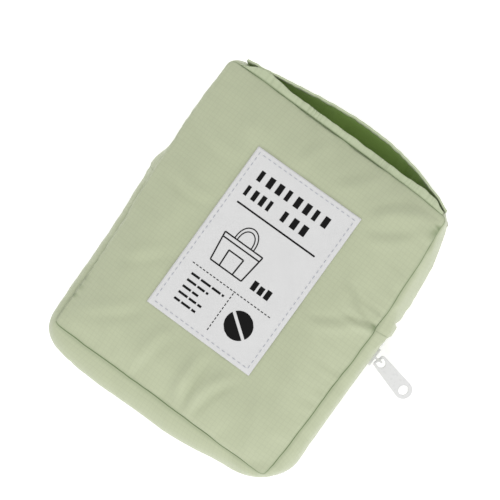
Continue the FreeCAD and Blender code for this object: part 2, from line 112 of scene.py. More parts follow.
class PouchColours(bpy.types.PropertyGroup):
    outer: colour_property("Outer cloth", "Pale green ripstop nylon", (0.482, 0.524, 0.353, 1))
    # painted shade and light: the sleeve's inside, darker and greener than the outer cloth for the shade in
    # the cavity, and glowing as if lit through the cloth
    sleeve_shade_and_glow: colour_property("Sleeve shade and glow", "Inside of the sleeve", (0.125, 0.205, 0.042, 1))
    facing: colour_property("Facing", "Strip along the top edge", (0.52, 0.585, 0.39, 1))
    # painted shade: this colour is mixed into the cloth in its seams, crossing seams, tucks and pleat valleys
    seam: colour_property("Seam", "Shaded cloth in the stitched seams", (0.10, 0.165, 0.05, 1))
    label: colour_property("Label", "Woven label", (0.74, 0.74, 0.74, 1))
    ink: colour_property("Ink", "Print on the label", (0.006, 0.006, 0.006, 1))
    thread: colour_property("Thread", "Sewing thread", (0.42, 0.44, 0.50, 1))
    tape: colour_property("Tape", "Zip tape", (0.74, 0.76, 0.71, 1))
    metal: colour_property("Enamel", "Slider and pull", (0.72, 0.72, 0.72, 1))
    tote: colour_property("Tote", "The folded tote's nylon", (0.48, 0.56, 0.37, 1))


# ---------------------------------------------------------------- cloth surfaces

def outline(half_x, half_y, radius):
    """Points round a rounded rectangle, from the middle of its lower left corner, anticlockwise."""
    points = []
    turn = radius * math.pi / 4
    for side in range(4):
        half, other = (half_x, half_y) if side % 2 == 0 else (half_y, half_x)
        cells = ACROSS if side % 2 == 0 else ALONG
        straight = 2 * (half - radius)
        for step in range(cells):
            d = step / cells * (2 * turn + straight)
            if d < turn:
                a = math.pi / 4 + d / radius
                x, y = -half + radius - radius * math.cos(a), -other + radius - radius * math.sin(a)
            elif d < turn + straight:
                x, y = -half + radius + d - turn, -other
            else:
                a = (d - turn - straight) / radius
                x, y = half - radius + radius * math.sin(a), -other + radius - radius * math.cos(a)
            for _ in range(side):
                x, y = -y, x
            points.append((x, y))
    return np.array(points)


def smooth(low, high, value):
    """0 at low and 1 at high, with a soft start and end."""
    t = np.clip((value - low) / (high - low), 0, 1)
    return t * t * (3 - 2 * t)


def outward(level, y):
    """How far the side wall stands out past the seam at this level, along the side at y."""
    t = (FRONT_LEVEL - level) / (FRONT_LEVEL - BACK_LEVEL)
    top = TOP_BULGE * TOP_WALL_SHARE * (1 - abs(2 * t - 1) ** TOP_WALL_CURVE)
    if level >= TAPE_TOP:
        t = (FRONT_LEVEL - level) / (FRONT_LEVEL - TAPE_TOP)
        low = TAPE_OUT * t + LOWER_WALL_BELLY * 4 * t * (1 - t)
    elif level >= TAPE_FOOT:
        low = TAPE_OUT
    else:
        low = TAPE_OUT * (level - BACK_LEVEL) / (TAPE_FOOT - BACK_LEVEL)
    share = smooth(CROSS_SEAM + 17, CROSS_SEAM - 1, y)
    return top * (1 - share) + low * share


def levels():
    """Heights of the walls' rows, from the front seam to the back."""
    wall = list(np.linspace(FRONT_LEVEL, TAPE_TOP, WALL_LEVELS))
    tapes = list(np.linspace(TAPE_TOP, TAPE_FOOT, TAPE_LEVELS + 1))[1:]
    return np.array(wall + tapes + [(TAPE_FOOT + BACK_LEVEL) / 2, BACK_LEVEL])


def panel_inside(ring):
    """A grid of ALONG by ACROSS cells whose rim is this ring."""
    a, b = ACROSS, ALONG
    low, right = ring[:a + 1], ring[a:a + b + 1]
    high, left = ring[a + b:2 * a + b + 1][::-1], np.vstack([ring[2 * a + b:], ring[:1]])[::-1]
    u = np.linspace(0, 1, a + 1)[None, :, None]
    v = np.linspace(0, 1, b + 1)[:, None, None]
    flat = (1 - v) * low[None] + v * high[None] + (1 - u) * left[:, None] + u * right[:, None]
    corners = (1 - u) * (1 - v) * low[0] + u * (1 - v) * low[-1] + (1 - u) * v * high[0] + u * v * high[-1]
    return flat - corners


def rim_places(across, along):
    """Grid places of the rim, in the ring's order."""
    low = [(0, i) for i in range(across)]
    right = [(j, across) for j in range(along)]
    high = [(along, across - i) for i in range(across)]
    left = [(along - j, 0) for j in range(along)]
    return np.array(low + right + high + left)


def crown(x, y, rise):
    """Height of the puffed panel: steep at the seams and flat in the middle."""
    side = 1 - np.exp(-np.clip(HALF_WIDTH - abs(x), 0, None) / CROWN_REACH)
    end = 1 - np.exp(-np.clip(HALF_LENGTH - abs(y), 0, None) / CROWN_REACH)
    return rise * side * end


def start_shape(rise):
    """The empty pouch: front grid, rings of the walls from front to back, back grid."""
    corner = bpy.context.scene.pouch_sizes.seam_corner / MM
    seam = outline(HALF_WIDTH, HALF_LENGTH, corner)
    below, right = seam[:, 1] <= 0, seam[:, 0] > 0
    parts = ((TOP_ROUNDING, ~below), (LOWER_LEFT_ROUNDING, below & ~right),
             (LOWER_RIGHT_ROUNDING, below & right))
    rings = []
    for level in levels():
        out = np.round([outward(level, y) for _, y in seam], 3)
        ring = np.zeros((len(seam), 3))
        for value in np.unique(out):
            for rounding, part in parts:
                spots = outline(HALF_WIDTH + value, HALF_LENGTH + value, corner + rounding * max(value, 0))
                chosen = (out == value) & part
                ring[chosen, :2] = spots[chosen]
        ring[:, 2] = level
        rings.append(ring)
    rings = np.array(rings)
    front = panel_inside(rings[0])
    front[..., 2] = FRONT_LEVEL + crown(front[..., 0], front[..., 1], rise)
    return front, rings, panel_inside(rings[-1])


def shell_faces():
    """Quads of the closed shell, numbered front grid, rings between, back grid."""
    grid = np.arange((ALONG + 1) * (ACROSS + 1)).reshape(ALONG + 1, ACROSS + 1)
    rim = rim_places(ACROSS, ALONG)
    count = len(rim)
    rows = len(levels())
    table = [grid[rim[:, 0], rim[:, 1]]]
    for row in range(1, rows - 1):
        table.append(grid.size + (row - 1) * count + np.arange(count))
    back = grid + grid.size + (rows - 2) * count
    table.append(back[rim[:, 0], rim[:, 1]])
    faces = []
    for j in range(ALONG):
        for i in range(ACROSS):
            faces.append((grid[j, i], grid[j, i + 1], grid[j + 1, i + 1], grid[j + 1, i]))
            faces.append((back[j, i], back[j + 1, i], back[j + 1, i + 1], back[j, i + 1]))
    for row in range(rows - 1):
        for i in range(count):
            k = (i + 1) % count
            faces.append((table[row][i], table[row + 1][i], table[row + 1][k], table[row][k]))
    return [tuple(int(v) for v in face) for face in faces]


# how the stuffed pouch slumps: places along an edge, and millimetres outward there (inward in a tuck)
LEFT_OVERHANG = ((-78, -40, -16, 0, 16, 40, 60, 74, 80), (0, 0.4, 1.6, 3.4, 4.4, 5.2, 5.4, 4.8, 4.2))
LEFT_TUCK = ((-92, -78, -64, -50, -24, -4, 5, 8), (2.8, 3.0, 2.9, 1.9, 1.5, 1.6, 0.6, 0))
RIGHT_SEAM = ((-78, -60, -30, 12, 40, 70, 78), (1.2, 2.4, 3.4, 4.4, 2.8, 1.0, 0.6))
RIGHT_WALL = ((9, 16, 24, 32, 40, 48, 56, 64, 72, 80), (0, 1.4, 4.4, 5.6, 4.8, 4.0, 3.0, 0.8, -1.5, -3.0))
LOWER_WALL = ((-66, -56, -44, -28, -8, 10, 30, 46, 60), (1.0, 2.6, 3.4, 4.0, 3.8, 3.4, 1.4, -0.8, -1.4))
LOWER_TUCK = ((20, 58), (0, 2.0))
TOP_SEAM = ((-66, -40, 0, 40, 56, 66), (3.4, 2.8, 2.2, 1.2, 0.2, -0.4))
TOP_EDGE = ((-66, -58, -40, 0, 40, 56, 66), (1.8, 3.2, 3.0, 2.4, 1.2, -0.4, -3.2))
# where each of them sets in, from and to (mm from the middle)
LEFT_SIDE, RIGHT_SIDE = (-40, -62), (40, 62)
LOWER_END, LOWER_CORNER, TOP_END = (-60, -76), (-66, -80), (60, 76)
LEFT_FOLD, LEFT_FOLD_SPAN = 3.2, (26, 8)
LEFT_DEPTH, RIGHT_DEPTH = 13, 7

# the simulation: scene units for a millimetre, frames, and the furthest that a point may go (mm)
SIM_SCALE = 0.01
SIM_FRAMES = 20
MOST_SHIFT = 5.0
SEAM_HOLD, CROSS_SEAM_HOLD = 0.75, 0.9
SEAM_GATHER, WALL_GATHER = 1.0, 0.8


def held_weights(front, rings, back, rim_index):
    """How firmly each point is held: the tapes, the top end and the back fully, the seams less.

    The tapes are held up to 3 mm past the crossing seams, and the top end from 6 mm inside the top seam.
    """
    n_front = front.shape[0] * front.shape[1]
    walls = np.zeros((len(rings) - 2, len(rim_index)))
    seam_y = rings[0][:, 1]
    for row, level in enumerate(levels()[1:-1]):
        if level <= TAPE_TOP + 0.1:
            walls[row, seam_y < CROSS_SEAM + 3] = 1.0
        walls[row, seam_y > HALF_LENGTH - 6] = 1.0
        walls[row, abs(seam_y - CROSS_SEAM) < 2] = CROSS_SEAM_HOLD
    held = np.zeros(n_front)
    held[rim_index] = SEAM_HOLD
    return np.concatenate([held, walls.ravel(), np.ones(back.shape[0] * back.shape[1])])


def stuffed(front, rings, back):
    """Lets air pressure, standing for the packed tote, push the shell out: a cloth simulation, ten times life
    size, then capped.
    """
    sizes = bpy.context.scene.pouch_sizes
    start = np.vstack([front.reshape(-1, 3), rings[1:-1].reshape(-1, 3), back.reshape(-1, 3)])
    mesh = bpy.data.meshes.new("stuffing")
    mesh.from_pydata((start * SIM_SCALE).tolist(), [], shell_faces())
    pouch = bpy.data.objects.new("stuffing", mesh)
    bpy.context.scene.collection.objects.link(pouch)
    n_front = front.shape[0] * front.shape[1]
    rim = rim_places(ACROSS, ALONG)
    rim_index = rim[:, 0] * (ACROSS + 1) + rim[:, 1]
    count = (len(rings) - 2) * len(rim)
    pins = pouch.vertex_groups.new(name="held")
    tight = pouch.vertex_groups.new(name="gathered")
    for index, weight in enumerate(held_weights(front, rings, back, rim_index)):
        if weight > 0:
            pins.add([index], float(weight), "REPLACE")
    tight.add([int(i) for i in rim_index], SEAM_GATHER, "REPLACE")
    tight.add(list(range(n_front, n_front + count)), WALL_GATHER, "REPLACE")
    cloth = pouch.modifiers.new("Filling", "CLOTH")
    filling = {"quality": 6, "mass": 0.02, "tension_stiffness": 12, "compression_stiffness": 8,
               "shear_stiffness": 4, "bending_stiffness": 0.02, "air_damping": 2, "use_pressure": True,
               "uniform_pressure_force": sizes.pressure, "vertex_group_mass": "held", "pin_stiffness": 2,
               "vertex_group_shrink": "gathered", "shrink_min": -sizes.gather, "shrink_max": 0.005}
    for key, value in filling.items():
        setattr(cloth.settings, key, value)
    cloth.settings.effector_weights.gravity = 0
    cloth.collision_settings.use_collision = False
    cloth.point_cache.frame_end = SIM_FRAMES
    for number in range(1, SIM_FRAMES + 1):
        bpy.context.scene.frame_set(number)
    solved = pouch.evaluated_get(bpy.context.evaluated_depsgraph_get()).to_mesh()
    end = np.array([v.co for v in solved.vertices]) / SIM_SCALE
    bpy.context.scene.frame_set(1)
    bpy.data.objects.remove(pouch)
    shift = end - start
    far = np.linalg.norm(shift, axis=1, keepdims=True)
    end = start + shift * (np.minimum(far, MOST_SHIFT) / np.maximum(far, 1e-9))
    print("cloth moved, mean and most in mm:", float(far.mean()), float(far.max()))
    front = end[:n_front].reshape(front.shape)
    for _ in range(2):
        around = (front[:-2, 1:-1] + front[2:, 1:-1] + front[1:-1, :-2] + front[1:-1, 2:]) / 4
        front[1:-1, 1:-1] += 0.6 * (around - front[1:-1, 1:-1])
    back = end[n_front + count:].reshape(back.shape)
    middle = end[n_front:n_front + count].reshape(len(rings) - 2, len(rim), 3)
    first = front[rim[:, 0], rim[:, 1]]
    last = back[rim[:, 0], rim[:, 1]]
    return front, np.concatenate([first[None], middle, last[None]]), back


def finer(grid, axis, ring=False):
    """Twice the rows along this axis, through the same points."""
    g = np.moveaxis(grid, axis, 0)
    if ring:
        wide = np.concatenate([g[-1:], g, g[:2]])
    else:
        wide = np.concatenate([2 * g[:1] - g[1:2], g, 2 * g[-1:] - g[-2:-1]])
    between = (9 * (wide[1:-2] + wide[2:-1]) - wide[:-3] - wide[3:]) / 16
    out = np.empty((len(g) + len(between),) + g.shape[1:])
    out[0::2] = g
    out[1::2] = between
    return np.moveaxis(out, 0, axis)


def normals_of(grid):
    along, across = np.gradient(grid, axis=0), np.gradient(grid, axis=1)
    n = np.cross(across, along)
    return n / np.maximum(np.linalg.norm(n, axis=2, keepdims=True), 1e-9)


def ripple(points, size, seed=0.0, stretch=(1, 1, 1)):
    """Smooth noise, about -1 to 1, at each point (mm), with features of this size."""
    flat = points.reshape(-1, points.shape[-1])
    values = [noise.noise(Vector((p[0] * stretch[0] / size + seed, p[1] * stretch[1] / size - seed,
                                  p[2] * stretch[2] / size + seed * 0.7))) for p in flat]
    return 2 * np.array(values).reshape(points.shape[:-1])


def ripple_along(x, size, seed):
    """The same noise along one line."""
    return ripple(np.stack([x, 0 * x, 0 * x], axis=1), size, seed)


def crease(x, y, fold):
    """One soft drag line: a ridge with a valley beside it."""
    x0, y0, x1, y1, height, width = fold
    dx, dy = x1 - x0, y1 - y0
    length = math.hypot(dx, dy)
    t = ((x - x0) * dx + (y - y0) * dy) / length ** 2
    side = ((x - x0) * -dy + (y - y0) * dx) / length + 1.5 * np.sin(4 * t + x0)
    fade = np.exp(-((t - 0.5) / 0.42) ** 4)
    ridge = np.exp(-(side / width) ** 2)
    valley = np.exp(-((side - 1.4 * width) / (0.75 * width)) ** 2)
    return height * fade * (ridge - 0.9 * valley)


# from and to (mm from the panel's middle), height and half width of each drag line, and their strength
DRAG_LINES = (
    (50, 8, 66, 14, 0.7, 1.8), (52, 21, 66, 15, 0.5, 1.8),
    (34, 56, 60, 74, 0.8, 3.2), (38, 46, 61, 60, 0.5, 3.4), (12, 57, 30, 77, 0.6, 3.4),
    (-10, 57, 2, 77, 0.5, 3.6), (-33, 55, -54, 70, 0.5, 4.0), (42, 20, 63, 10, 0.8, 3.2),
    (38, -4, 61, 9, 0.6, 3.0), (5, -45, 10, -77, 1.0, 3.4), (25, -46, 14, -75, 0.9, 3.4),
    (-12, -45, -22, -74, 0.6, 3.8), (35, -38, 52, -72, 0.4, 4.2), (-34, 20, -60, 16, 0.6, 3.4),
    (-36, -14, -60, -30, 0.5, 3.8), (-36, 40, -60, 50, 0.4, 4.0), (-34, -42, -56, -66, 0.6, 3.8),
)
DRAG_STRENGTH = 1.6

# painted shade in patches beside the seam, where tucks would shade the cloth: where, and how far they reach
# along it (mm)
PAINTED_TUCK_SHADE = ((66, 72, 5.5), (68.5, 13.5, 2.6), (-67, -60, 9))


def distance_round(grid):
    """Millimetres along each row, for the weave."""
    steps = np.linalg.norm(np.diff(grid, axis=1), axis=2).mean(axis=0)
    return np.concatenate([[0], np.cumsum(steps)])


def placed(name, data):
    """A new object with this mesh, lamp or camera, in the scene."""
    obj = bpy.data.objects.new(name, data)
    bpy.context.scene.collection.objects.link(obj)
    return obj


def sheet_mesh(name, grid, weave, marks=None, flip=False):
    """A grid of quads (mm) as an object, with its weave directions and per-point marks."""
    rows, cols = grid.shape[:2]
    index = np.arange(rows * cols).reshape(rows, cols)
    quads = np.stack([index[:-1, :-1], index[:-1, 1:], index[1:, 1:], index[1:, :-1]], axis=2).reshape(-1, 4)
    if flip:
        quads = quads[:, ::-1]
    mesh = bpy.data.meshes.new(name)
    mesh.from_pydata((grid.reshape(-1, 3) * MM).tolist(), [], quads.tolist())
    layer = mesh.uv_layers.new(name="weave")
    corner = np.zeros(len(mesh.loops), int)
    mesh.loops.foreach_get("vertex_index", corner)
    layer.data.foreach_set("uv", weave.reshape(-1, 2)[corner].astype(np.float32).ravel())
    for mark, values in (marks or {}).items():
        attribute = mesh.attributes.new(mark, "FLOAT", "POINT")
        attribute.data.foreach_set("value", np.asarray(values, np.float32).ravel())
    mesh.polygons.foreach_set("use_smooth", [True] * len(mesh.polygons))
    return placed(name, mesh)


def raw_mesh(name, points, faces, smooth_faces=True):
    """These points (mm) and faces as an object."""
    mesh = bpy.data.meshes.new(name)
    mesh.from_pydata([tuple(p) for p in np.asarray(points) * MM], [], [tuple(map(int, f)) for f in faces])
    mesh.polygons.foreach_set("use_smooth", [smooth_faces] * len(mesh.polygons))
    return placed(name, mesh)


def thicken(obj, thickness, offset=-1.0):
    solid = obj.modifiers.new("Thickness", "SOLIDIFY")
    solid.thickness = thickness
    solid.offset = offset
    return obj


def finish_piece(obj, material, body, nodes=()):
    """Gives a piece its material and slot, the body it moves with, and the CAD nodes it stands for."""
    obj.data.materials.clear()
    obj.data.materials.append(material)
    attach(obj, body)
    if nodes:
        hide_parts(*nodes)
    return obj


# ---------------------------------------------------------------- materials

def node(tree, kind, **values):
    made = tree.nodes.new(kind)
    for key, value in values.items():
        setattr(made, key, value)
    return made


def feed(tree, value, socket):
    """Sets a socket to a number, or links it to an output."""
    if isinstance(value, (int, float)):
        socket.default_value = value
    else:
        tree.links.new(value, socket)


def sums(tree, operation, *inputs):
    """One Math node on these numbers and outputs."""
    made = node(tree, "ShaderNodeMath", operation=operation)
    for place, value in enumerate(inputs):
        feed(tree, value, made.inputs[place])
    return made.outputs[0]


def clouds(tree, place, scale, detail):
    """Uneven patches of this scale, around 0.5."""
    made = node(tree, "ShaderNodeTexNoise")
    made.inputs["Detail"].default_value = detail
    tree.links.new(place, made.inputs["Vector"])
    feed(tree, scale, made.inputs["Scale"])
    return made.outputs[0]


def toned(tree, colour, tone):
    """A colour made lighter or darker by a tone around 1."""
    made = node(tree, "ShaderNodeVectorMath", operation="SCALE")
    tree.links.new(colour, made.inputs[0])
    tree.links.new(tone, made.inputs["Scale"])
    return made.outputs[0]


def new_group(name, inputs, outputs):
    """A shader node group: its tree, the given values and the results."""
    tree = bpy.data.node_groups.new(name, "ShaderNodeTree")
    for label, kind, default in inputs:
        socket = tree.interface.new_socket(label, in_out="INPUT", socket_type=kind)
        socket.default_value = default
    for label, kind in outputs:
        tree.interface.new_socket(label, in_out="OUTPUT", socket_type=kind)
    return tree, node(tree, "NodeGroupInput"), node(tree, "NodeGroupOutput")


THREAD_WIDTH = 0.07  # half of a thick thread, as a share of the ripstop pitch


def thread_lines(tree, source, pitch):
    """1 on a thread every pitch, along one direction of the weave."""
    turn = sums(tree, "FRACT", sums(tree, "DIVIDE", source, pitch))
    return sums(tree, "LESS_THAN", sums(tree, "ABSOLUTE", sums(tree, "SUBTRACT", turn, 0.5)), THREAD_WIDTH)


def weave_group():
    """Woven cloth with a grid of thicker threads and uneven dye."""
    if "Woven cloth" in bpy.data.node_groups:
        return bpy.data.node_groups["Woven cloth"]
    tree, given, out = new_group(
        "Woven cloth",
        [("Colour", "NodeSocketColor", (0.5, 0.5, 0.5, 1)), ("Grid Pitch", "NodeSocketFloat", 2.3),
         ("Grid Depth", "NodeSocketFloat", 0.1), ("Thread", "NodeSocketFloat", 0.35),
         ("Unevenness", "NodeSocketFloat", 0.08), ("Roughness", "NodeSocketFloat", 0.5)],
        [("Colour", "NodeSocketColor"), ("Roughness", "NodeSocketFloat"), ("Height", "NodeSocketFloat")])
    uv = node(tree, "ShaderNodeUVMap", uv_map="weave")
    split = node(tree, "ShaderNodeSeparateXYZ")
    tree.links.new(uv.outputs[0], split.inputs[0])
    lines = sums(tree, "MAXIMUM", *[thread_lines(tree, split.outputs[k], given.outputs["Grid Pitch"])
                                    for k in (0, 1)])
    waves = [sums(tree, "SINE", sums(tree, "DIVIDE", sums(tree, "MULTIPLY", split.outputs[k], 2 * math.pi),
                                     given.outputs["Thread"])) for k in (0, 1)]
    weave = sums(tree, "MULTIPLY", *waves)
    patches = clouds(tree, uv.outputs[0], 0.09, 5)
    fibres = sums(tree, "MULTIPLY", clouds(tree, uv.outputs[0], 2.1, 2), 0.5)
    dye = sums(tree, "SUBTRACT", sums(tree, "ADD", patches, fibres), 0.75)
    tone = sums(tree, "ADD", 1.0, sums(tree, "MULTIPLY", dye, given.outputs["Unevenness"]))
    tone = sums(tree, "SUBTRACT", tone, sums(tree, "MULTIPLY", lines, given.outputs["Grid Depth"]))
    rough = sums(tree, "ADD", given.outputs["Roughness"], sums(tree, "MULTIPLY", dye, 0.18))
    height = sums(tree, "ADD", sums(tree, "MULTIPLY", weave, 0.35), lines)
    tree.links.new(toned(tree, given.outputs["Colour"], tone), out.inputs["Colour"])
    tree.links.new(rough, out.inputs["Roughness"])
    tree.links.new(height, out.inputs["Height"])
    return tree


def handling_group():
    """Slight marks of handling for hard and printed finishes."""
    if "Handling" in bpy.data.node_groups:
        return bpy.data.node_groups["Handling"]
    tree, given, out = new_group(
        "Handling",
        [("Colour", "NodeSocketColor", (0.5, 0.5, 0.5, 1)), ("Size", "NodeSocketFloat", 600.0),
         ("Amount", "NodeSocketFloat", 0.06), ("Roughness", "NodeSocketFloat", 0.4)],
        [("Colour", "NodeSocketColor"), ("Roughness", "NodeSocketFloat"), ("Height", "NodeSocketFloat")])
    place = node(tree, "ShaderNodeTexCoord")
    marks = sums(tree, "SUBTRACT", clouds(tree, place.outputs["Object"], given.outputs["Size"], 6), 0.5)
    tone = sums(tree, "ADD", 1.0, sums(tree, "MULTIPLY", marks, given.outputs["Amount"]))
    rough = sums(tree, "ADD", given.outputs["Roughness"], sums(tree, "MULTIPLY", marks, 0.3))
    tree.links.new(toned(tree, given.outputs["Colour"], tone), out.inputs["Colour"])
    tree.links.new(rough, out.inputs["Roughness"])
    tree.links.new(marks, out.inputs["Height"])
    return tree


def shader_of(material):
    return material.node_tree.nodes["Principled BSDF"]


BUMP_HEIGHT = 0.2 * MM


def dressed(name, group, colour, settings, bump, shader, seam=None):
    """A material: this group's colour, roughness and height on a Principled shader, with a painted shade
    colour mixed in where the seam attribute marks it.
    """
    if name in bpy.data.materials:
        return bpy.data.materials[name]
    material = bpy.data.materials.new(name)
    material.use_nodes = True
    tree = material.node_tree
    surface = shader_of(material)
    detail = node(tree, "ShaderNodeGroup", node_tree=group)
    detail.inputs["Colour"].default_value = tuple(colour)
    for key, value in settings.items():
        detail.inputs[key].default_value = value
    for key, value in shader.items():
        surface.inputs[key].default_value = value
    base = detail.outputs["Colour"]
    if seam is not None:
        # painted shade: the seam attribute mixes the shade colour into the cloth's colour
        mark = node(tree, "ShaderNodeAttribute", attribute_name="seam")
        mix = node(tree, "ShaderNodeMix", data_type="RGBA")
        mix.inputs[7].default_value = tuple(seam)
        tree.links.new(mark.outputs["Fac"], mix.inputs[0])
        tree.links.new(base, mix.inputs[6])
        base = mix.outputs[2]
    tree.links.new(base, surface.inputs["Base Color"])
    tree.links.new(detail.outputs["Roughness"], surface.inputs["Roughness"])
    height = node(tree, "ShaderNodeBump")
    height.inputs["Strength"].default_value = bump
    height.inputs["Distance"].default_value = BUMP_HEIGHT
    tree.links.new(detail.outputs["Height"], height.inputs["Height"])
    tree.links.new(height.outputs[0], surface.inputs["Normal"])
    return material


def nylon(name, colour, grid=0.05):
    """Ripstop nylon; grid is how dark its thicker threads are."""
    pitch = bpy.context.scene.pouch_sizes.ripstop / MM
    return dressed(name, weave_group(), colour,
                   {"Grid Pitch": pitch, "Grid Depth": grid, "Roughness": 0.46, "Unevenness": 0.10}, 0.35,
                   {"Sheen Weight": 0.25, "Sheen Roughness": 0.4, "Specular IOR Level": 0.45},
                   bpy.context.scene.pouch_colours.seam)


def woven(name, colour, pitch, bump=0.5):
    """Woven tape or label cloth with threads at this pitch (mm)."""
    return dressed(name, weave_group(), colour,
                   {"Grid Pitch": pitch, "Grid Depth": 0.12, "Thread": pitch / 2, "Roughness": 0.75}, bump,
                   {"Sheen Weight": 0.15})


def hard(name, colour, roughness, coat=0.0):
    """Enamel, nylon coil, print or floor."""
    return dressed(name, handling_group(), colour, {"Roughness": roughness, "Amount": 0.03}, 0.03,
                   {"Coat Weight": coat, "Coat Roughness": 0.12})


def solid_cloth(name, colour):
    """Cloth on CAD pieces, which have no weave directions: a fine fibre pattern in the piece's own space."""
    return dressed(name, handling_group(), colour, {"Size": 2400.0, "Amount": 0.35, "Roughness": 0.8}, 0.6,
                   {"Sheen Weight": 0.2})


# ---------------------------------------------------------------- small parts

def tube(path, radius, sides):
    """Points and quads of a closed tube with round ends along a path (mm)."""
    path = np.asarray(path, float)
    tangents = np.gradient(path, axis=0)
    tangents /= np.linalg.norm(tangents, axis=1, keepdims=True)
    across_all = np.array((0.31, 0.52, 0.79))  # a direction that no thread runs in
    points, faces = [], []
    shares = np.sin(np.linspace(0, math.pi, len(path))) ** 0.35
    shares[0] = shares[-1] = 0.25
    for centre, direction, share in zip(path, tangents, shares):
        a = np.cross(direction, across_all)
        a /= np.linalg.norm(a)
        b = np.cross(direction, a)
        for k in range(sides):
            angle = 2 * math.pi * k / sides
            points.append(centre + radius * share * (a * math.cos(angle) + b * math.sin(angle)))
    for row in range(len(path) - 1):
        for k in range(sides):
            n = (k + 1) % sides
            faces.append((row * sides + k, row * sides + n, (row + 1) * sides + n, (row + 1) * sides + k))
    faces.append(tuple(range(sides))[::-1])
    faces.append(tuple((len(path) - 1) * sides + k for k in range(sides)))
    return points, faces


def along(path, spacing):
    """Points every spacing along a path (mm), and the path's direction there."""
    path = np.asarray(path, float)
    steps = np.concatenate([[0], np.cumsum(np.linalg.norm(np.diff(path, axis=0), axis=1))])
    places = np.arange(spacing / 2, steps[-1], spacing)
    spots = np.stack([np.interp(places, steps, path[:, k]) for k in range(3)], axis=1)
    ahead = np.stack([np.interp(places + 0.2, steps, path[:, k]) for k in range(3)], axis=1)
    ways = ahead - spots
    return spots, ways / np.maximum(np.linalg.norm(ways, axis=1, keepdims=True), 1e-9)


THREAD_RADIUS, STITCH_SHARE = 0.16, 0.68
STITCH_LIFT, STITCH_DIP = 0.14, 0.7


def stitch_row(name, path, up):
    """Short raised threads along a path. up is the direction that they stand in, or a list of directions.

    A list is read at the stitches' spacing along its own length, and the row ends where the list does.
    """
    pitch = bpy.context.scene.pouch_sizes.stitch / MM
    spots, ways = along(path, pitch)
    points, faces = [], []
    up = np.broadcast_to(np.asarray(up, float), spots.shape) if np.ndim(up) == 1 else along(up, pitch)[0]
    for spot, way, lift in zip(spots, ways, up):
        t = np.linspace(-0.5, 0.5, 5)[:, None]
        run = spot + way * t * pitch * STITCH_SHARE + lift * (STITCH_LIFT - STITCH_DIP * t ** 2)
        p, f = tube(run, THREAD_RADIUS, 5)
        faces += [tuple(v + len(points) for v in face) for face in f]
        points += p
    return raw_mesh(name, points, faces)


def surface_of(obj):
    """A piece's surface, to find heights on."""
    points = [v.co.copy() for v in obj.data.vertices]
    return BVHTree.FromPolygons(points, [tuple(p.vertices) for p in obj.data.polygons])


def height_on(tree, x, y, missing):
    """The surface's height at this place (mm), or missing beside it."""
    hit = tree.ray_cast(Vector((x * MM, y * MM, 0.2)), Vector((0, 0, -1)))[0]
    return hit.z / MM if hit is not None else missing


def refinish(name, material, width, angle=30):
    """A CAD piece that stays: its own material, and edges softened by this width (mm)."""
    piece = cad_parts[name]
    piece.data.materials.clear()
    piece.data.materials.append(material)
    edge = piece.modifiers.new("Soft edges", "BEVEL")
    edge.width = width * MM
    edge.segments = 2
    edge.limit_method = "ANGLE"
    edge.angle_limit = math.radians(angle)


def extra_rows(grid, axis, start=True, end=True, share=0.22):
    """One more row close to the seam at either end of this axis."""
    g = np.moveaxis(grid, axis, 0)
    parts = [g]
    if start:
        parts = [g[:1], g[:1] * (1 - share) + g[1:2] * share, g[1:]]
    if end:
        last = parts.pop()
        parts += [last[:-1], last[-2:-1] * share + last[-1:] * (1 - share), last[-1:]]
    return np.moveaxis(np.concatenate(parts), 0, axis)


def painted_seam_shade(rows, cols, low=True, high=True, left=True, right=True):
    """How much shade is painted at each point of a grid: full on the edges that are seams, and a little
    beside them.
    """
    marks = np.zeros((rows, cols))
    for use, edge, near in ((low, np.s_[0, :], np.s_[1, :]), (high, np.s_[-1, :], np.s_[-2, :]),
                            (left, np.s_[:, 0], np.s_[:, 1]), (right, np.s_[:, -1], np.s_[:, -2])):
        if use:
            marks[near] = np.maximum(marks[near], 0.2 * use)
            marks[edge] = np.maximum(marks[edge], use)
    return marks


# the gussets' edges over the zip tape (mm), and how much shade is painted in the crossing seams
ZIP_LAP_OUT, ZIP_LAP_LIFT = 0.35, 0.55
CROSS_SEAM_SHADE = 0.35
# the front panel: how calm it is under the label, how near its seam the folds end (mm), and how far
# in from the sides the slump reaches (mm), with a little more on the left
LABEL_CALM, SEAM_CALM = 0.75, 2.5
SLUMP_REACH, LEFT_EXTRA = 12, 1.2
SWING_ROOM = 1.8  # furthest that the cloth beside the pull's swing stands past the CAD wall (mm)
LOWER_ROOM, TOP_ROOM = 1.1, 4.2  # the same below, and above the top seam (mm)
WALL_CORNER = 4.5  # corner radius that the walls' bulges turn round (mm)
COLUMN_STEP = 1.25  # about how far apart the columns round the pouch are (mm)


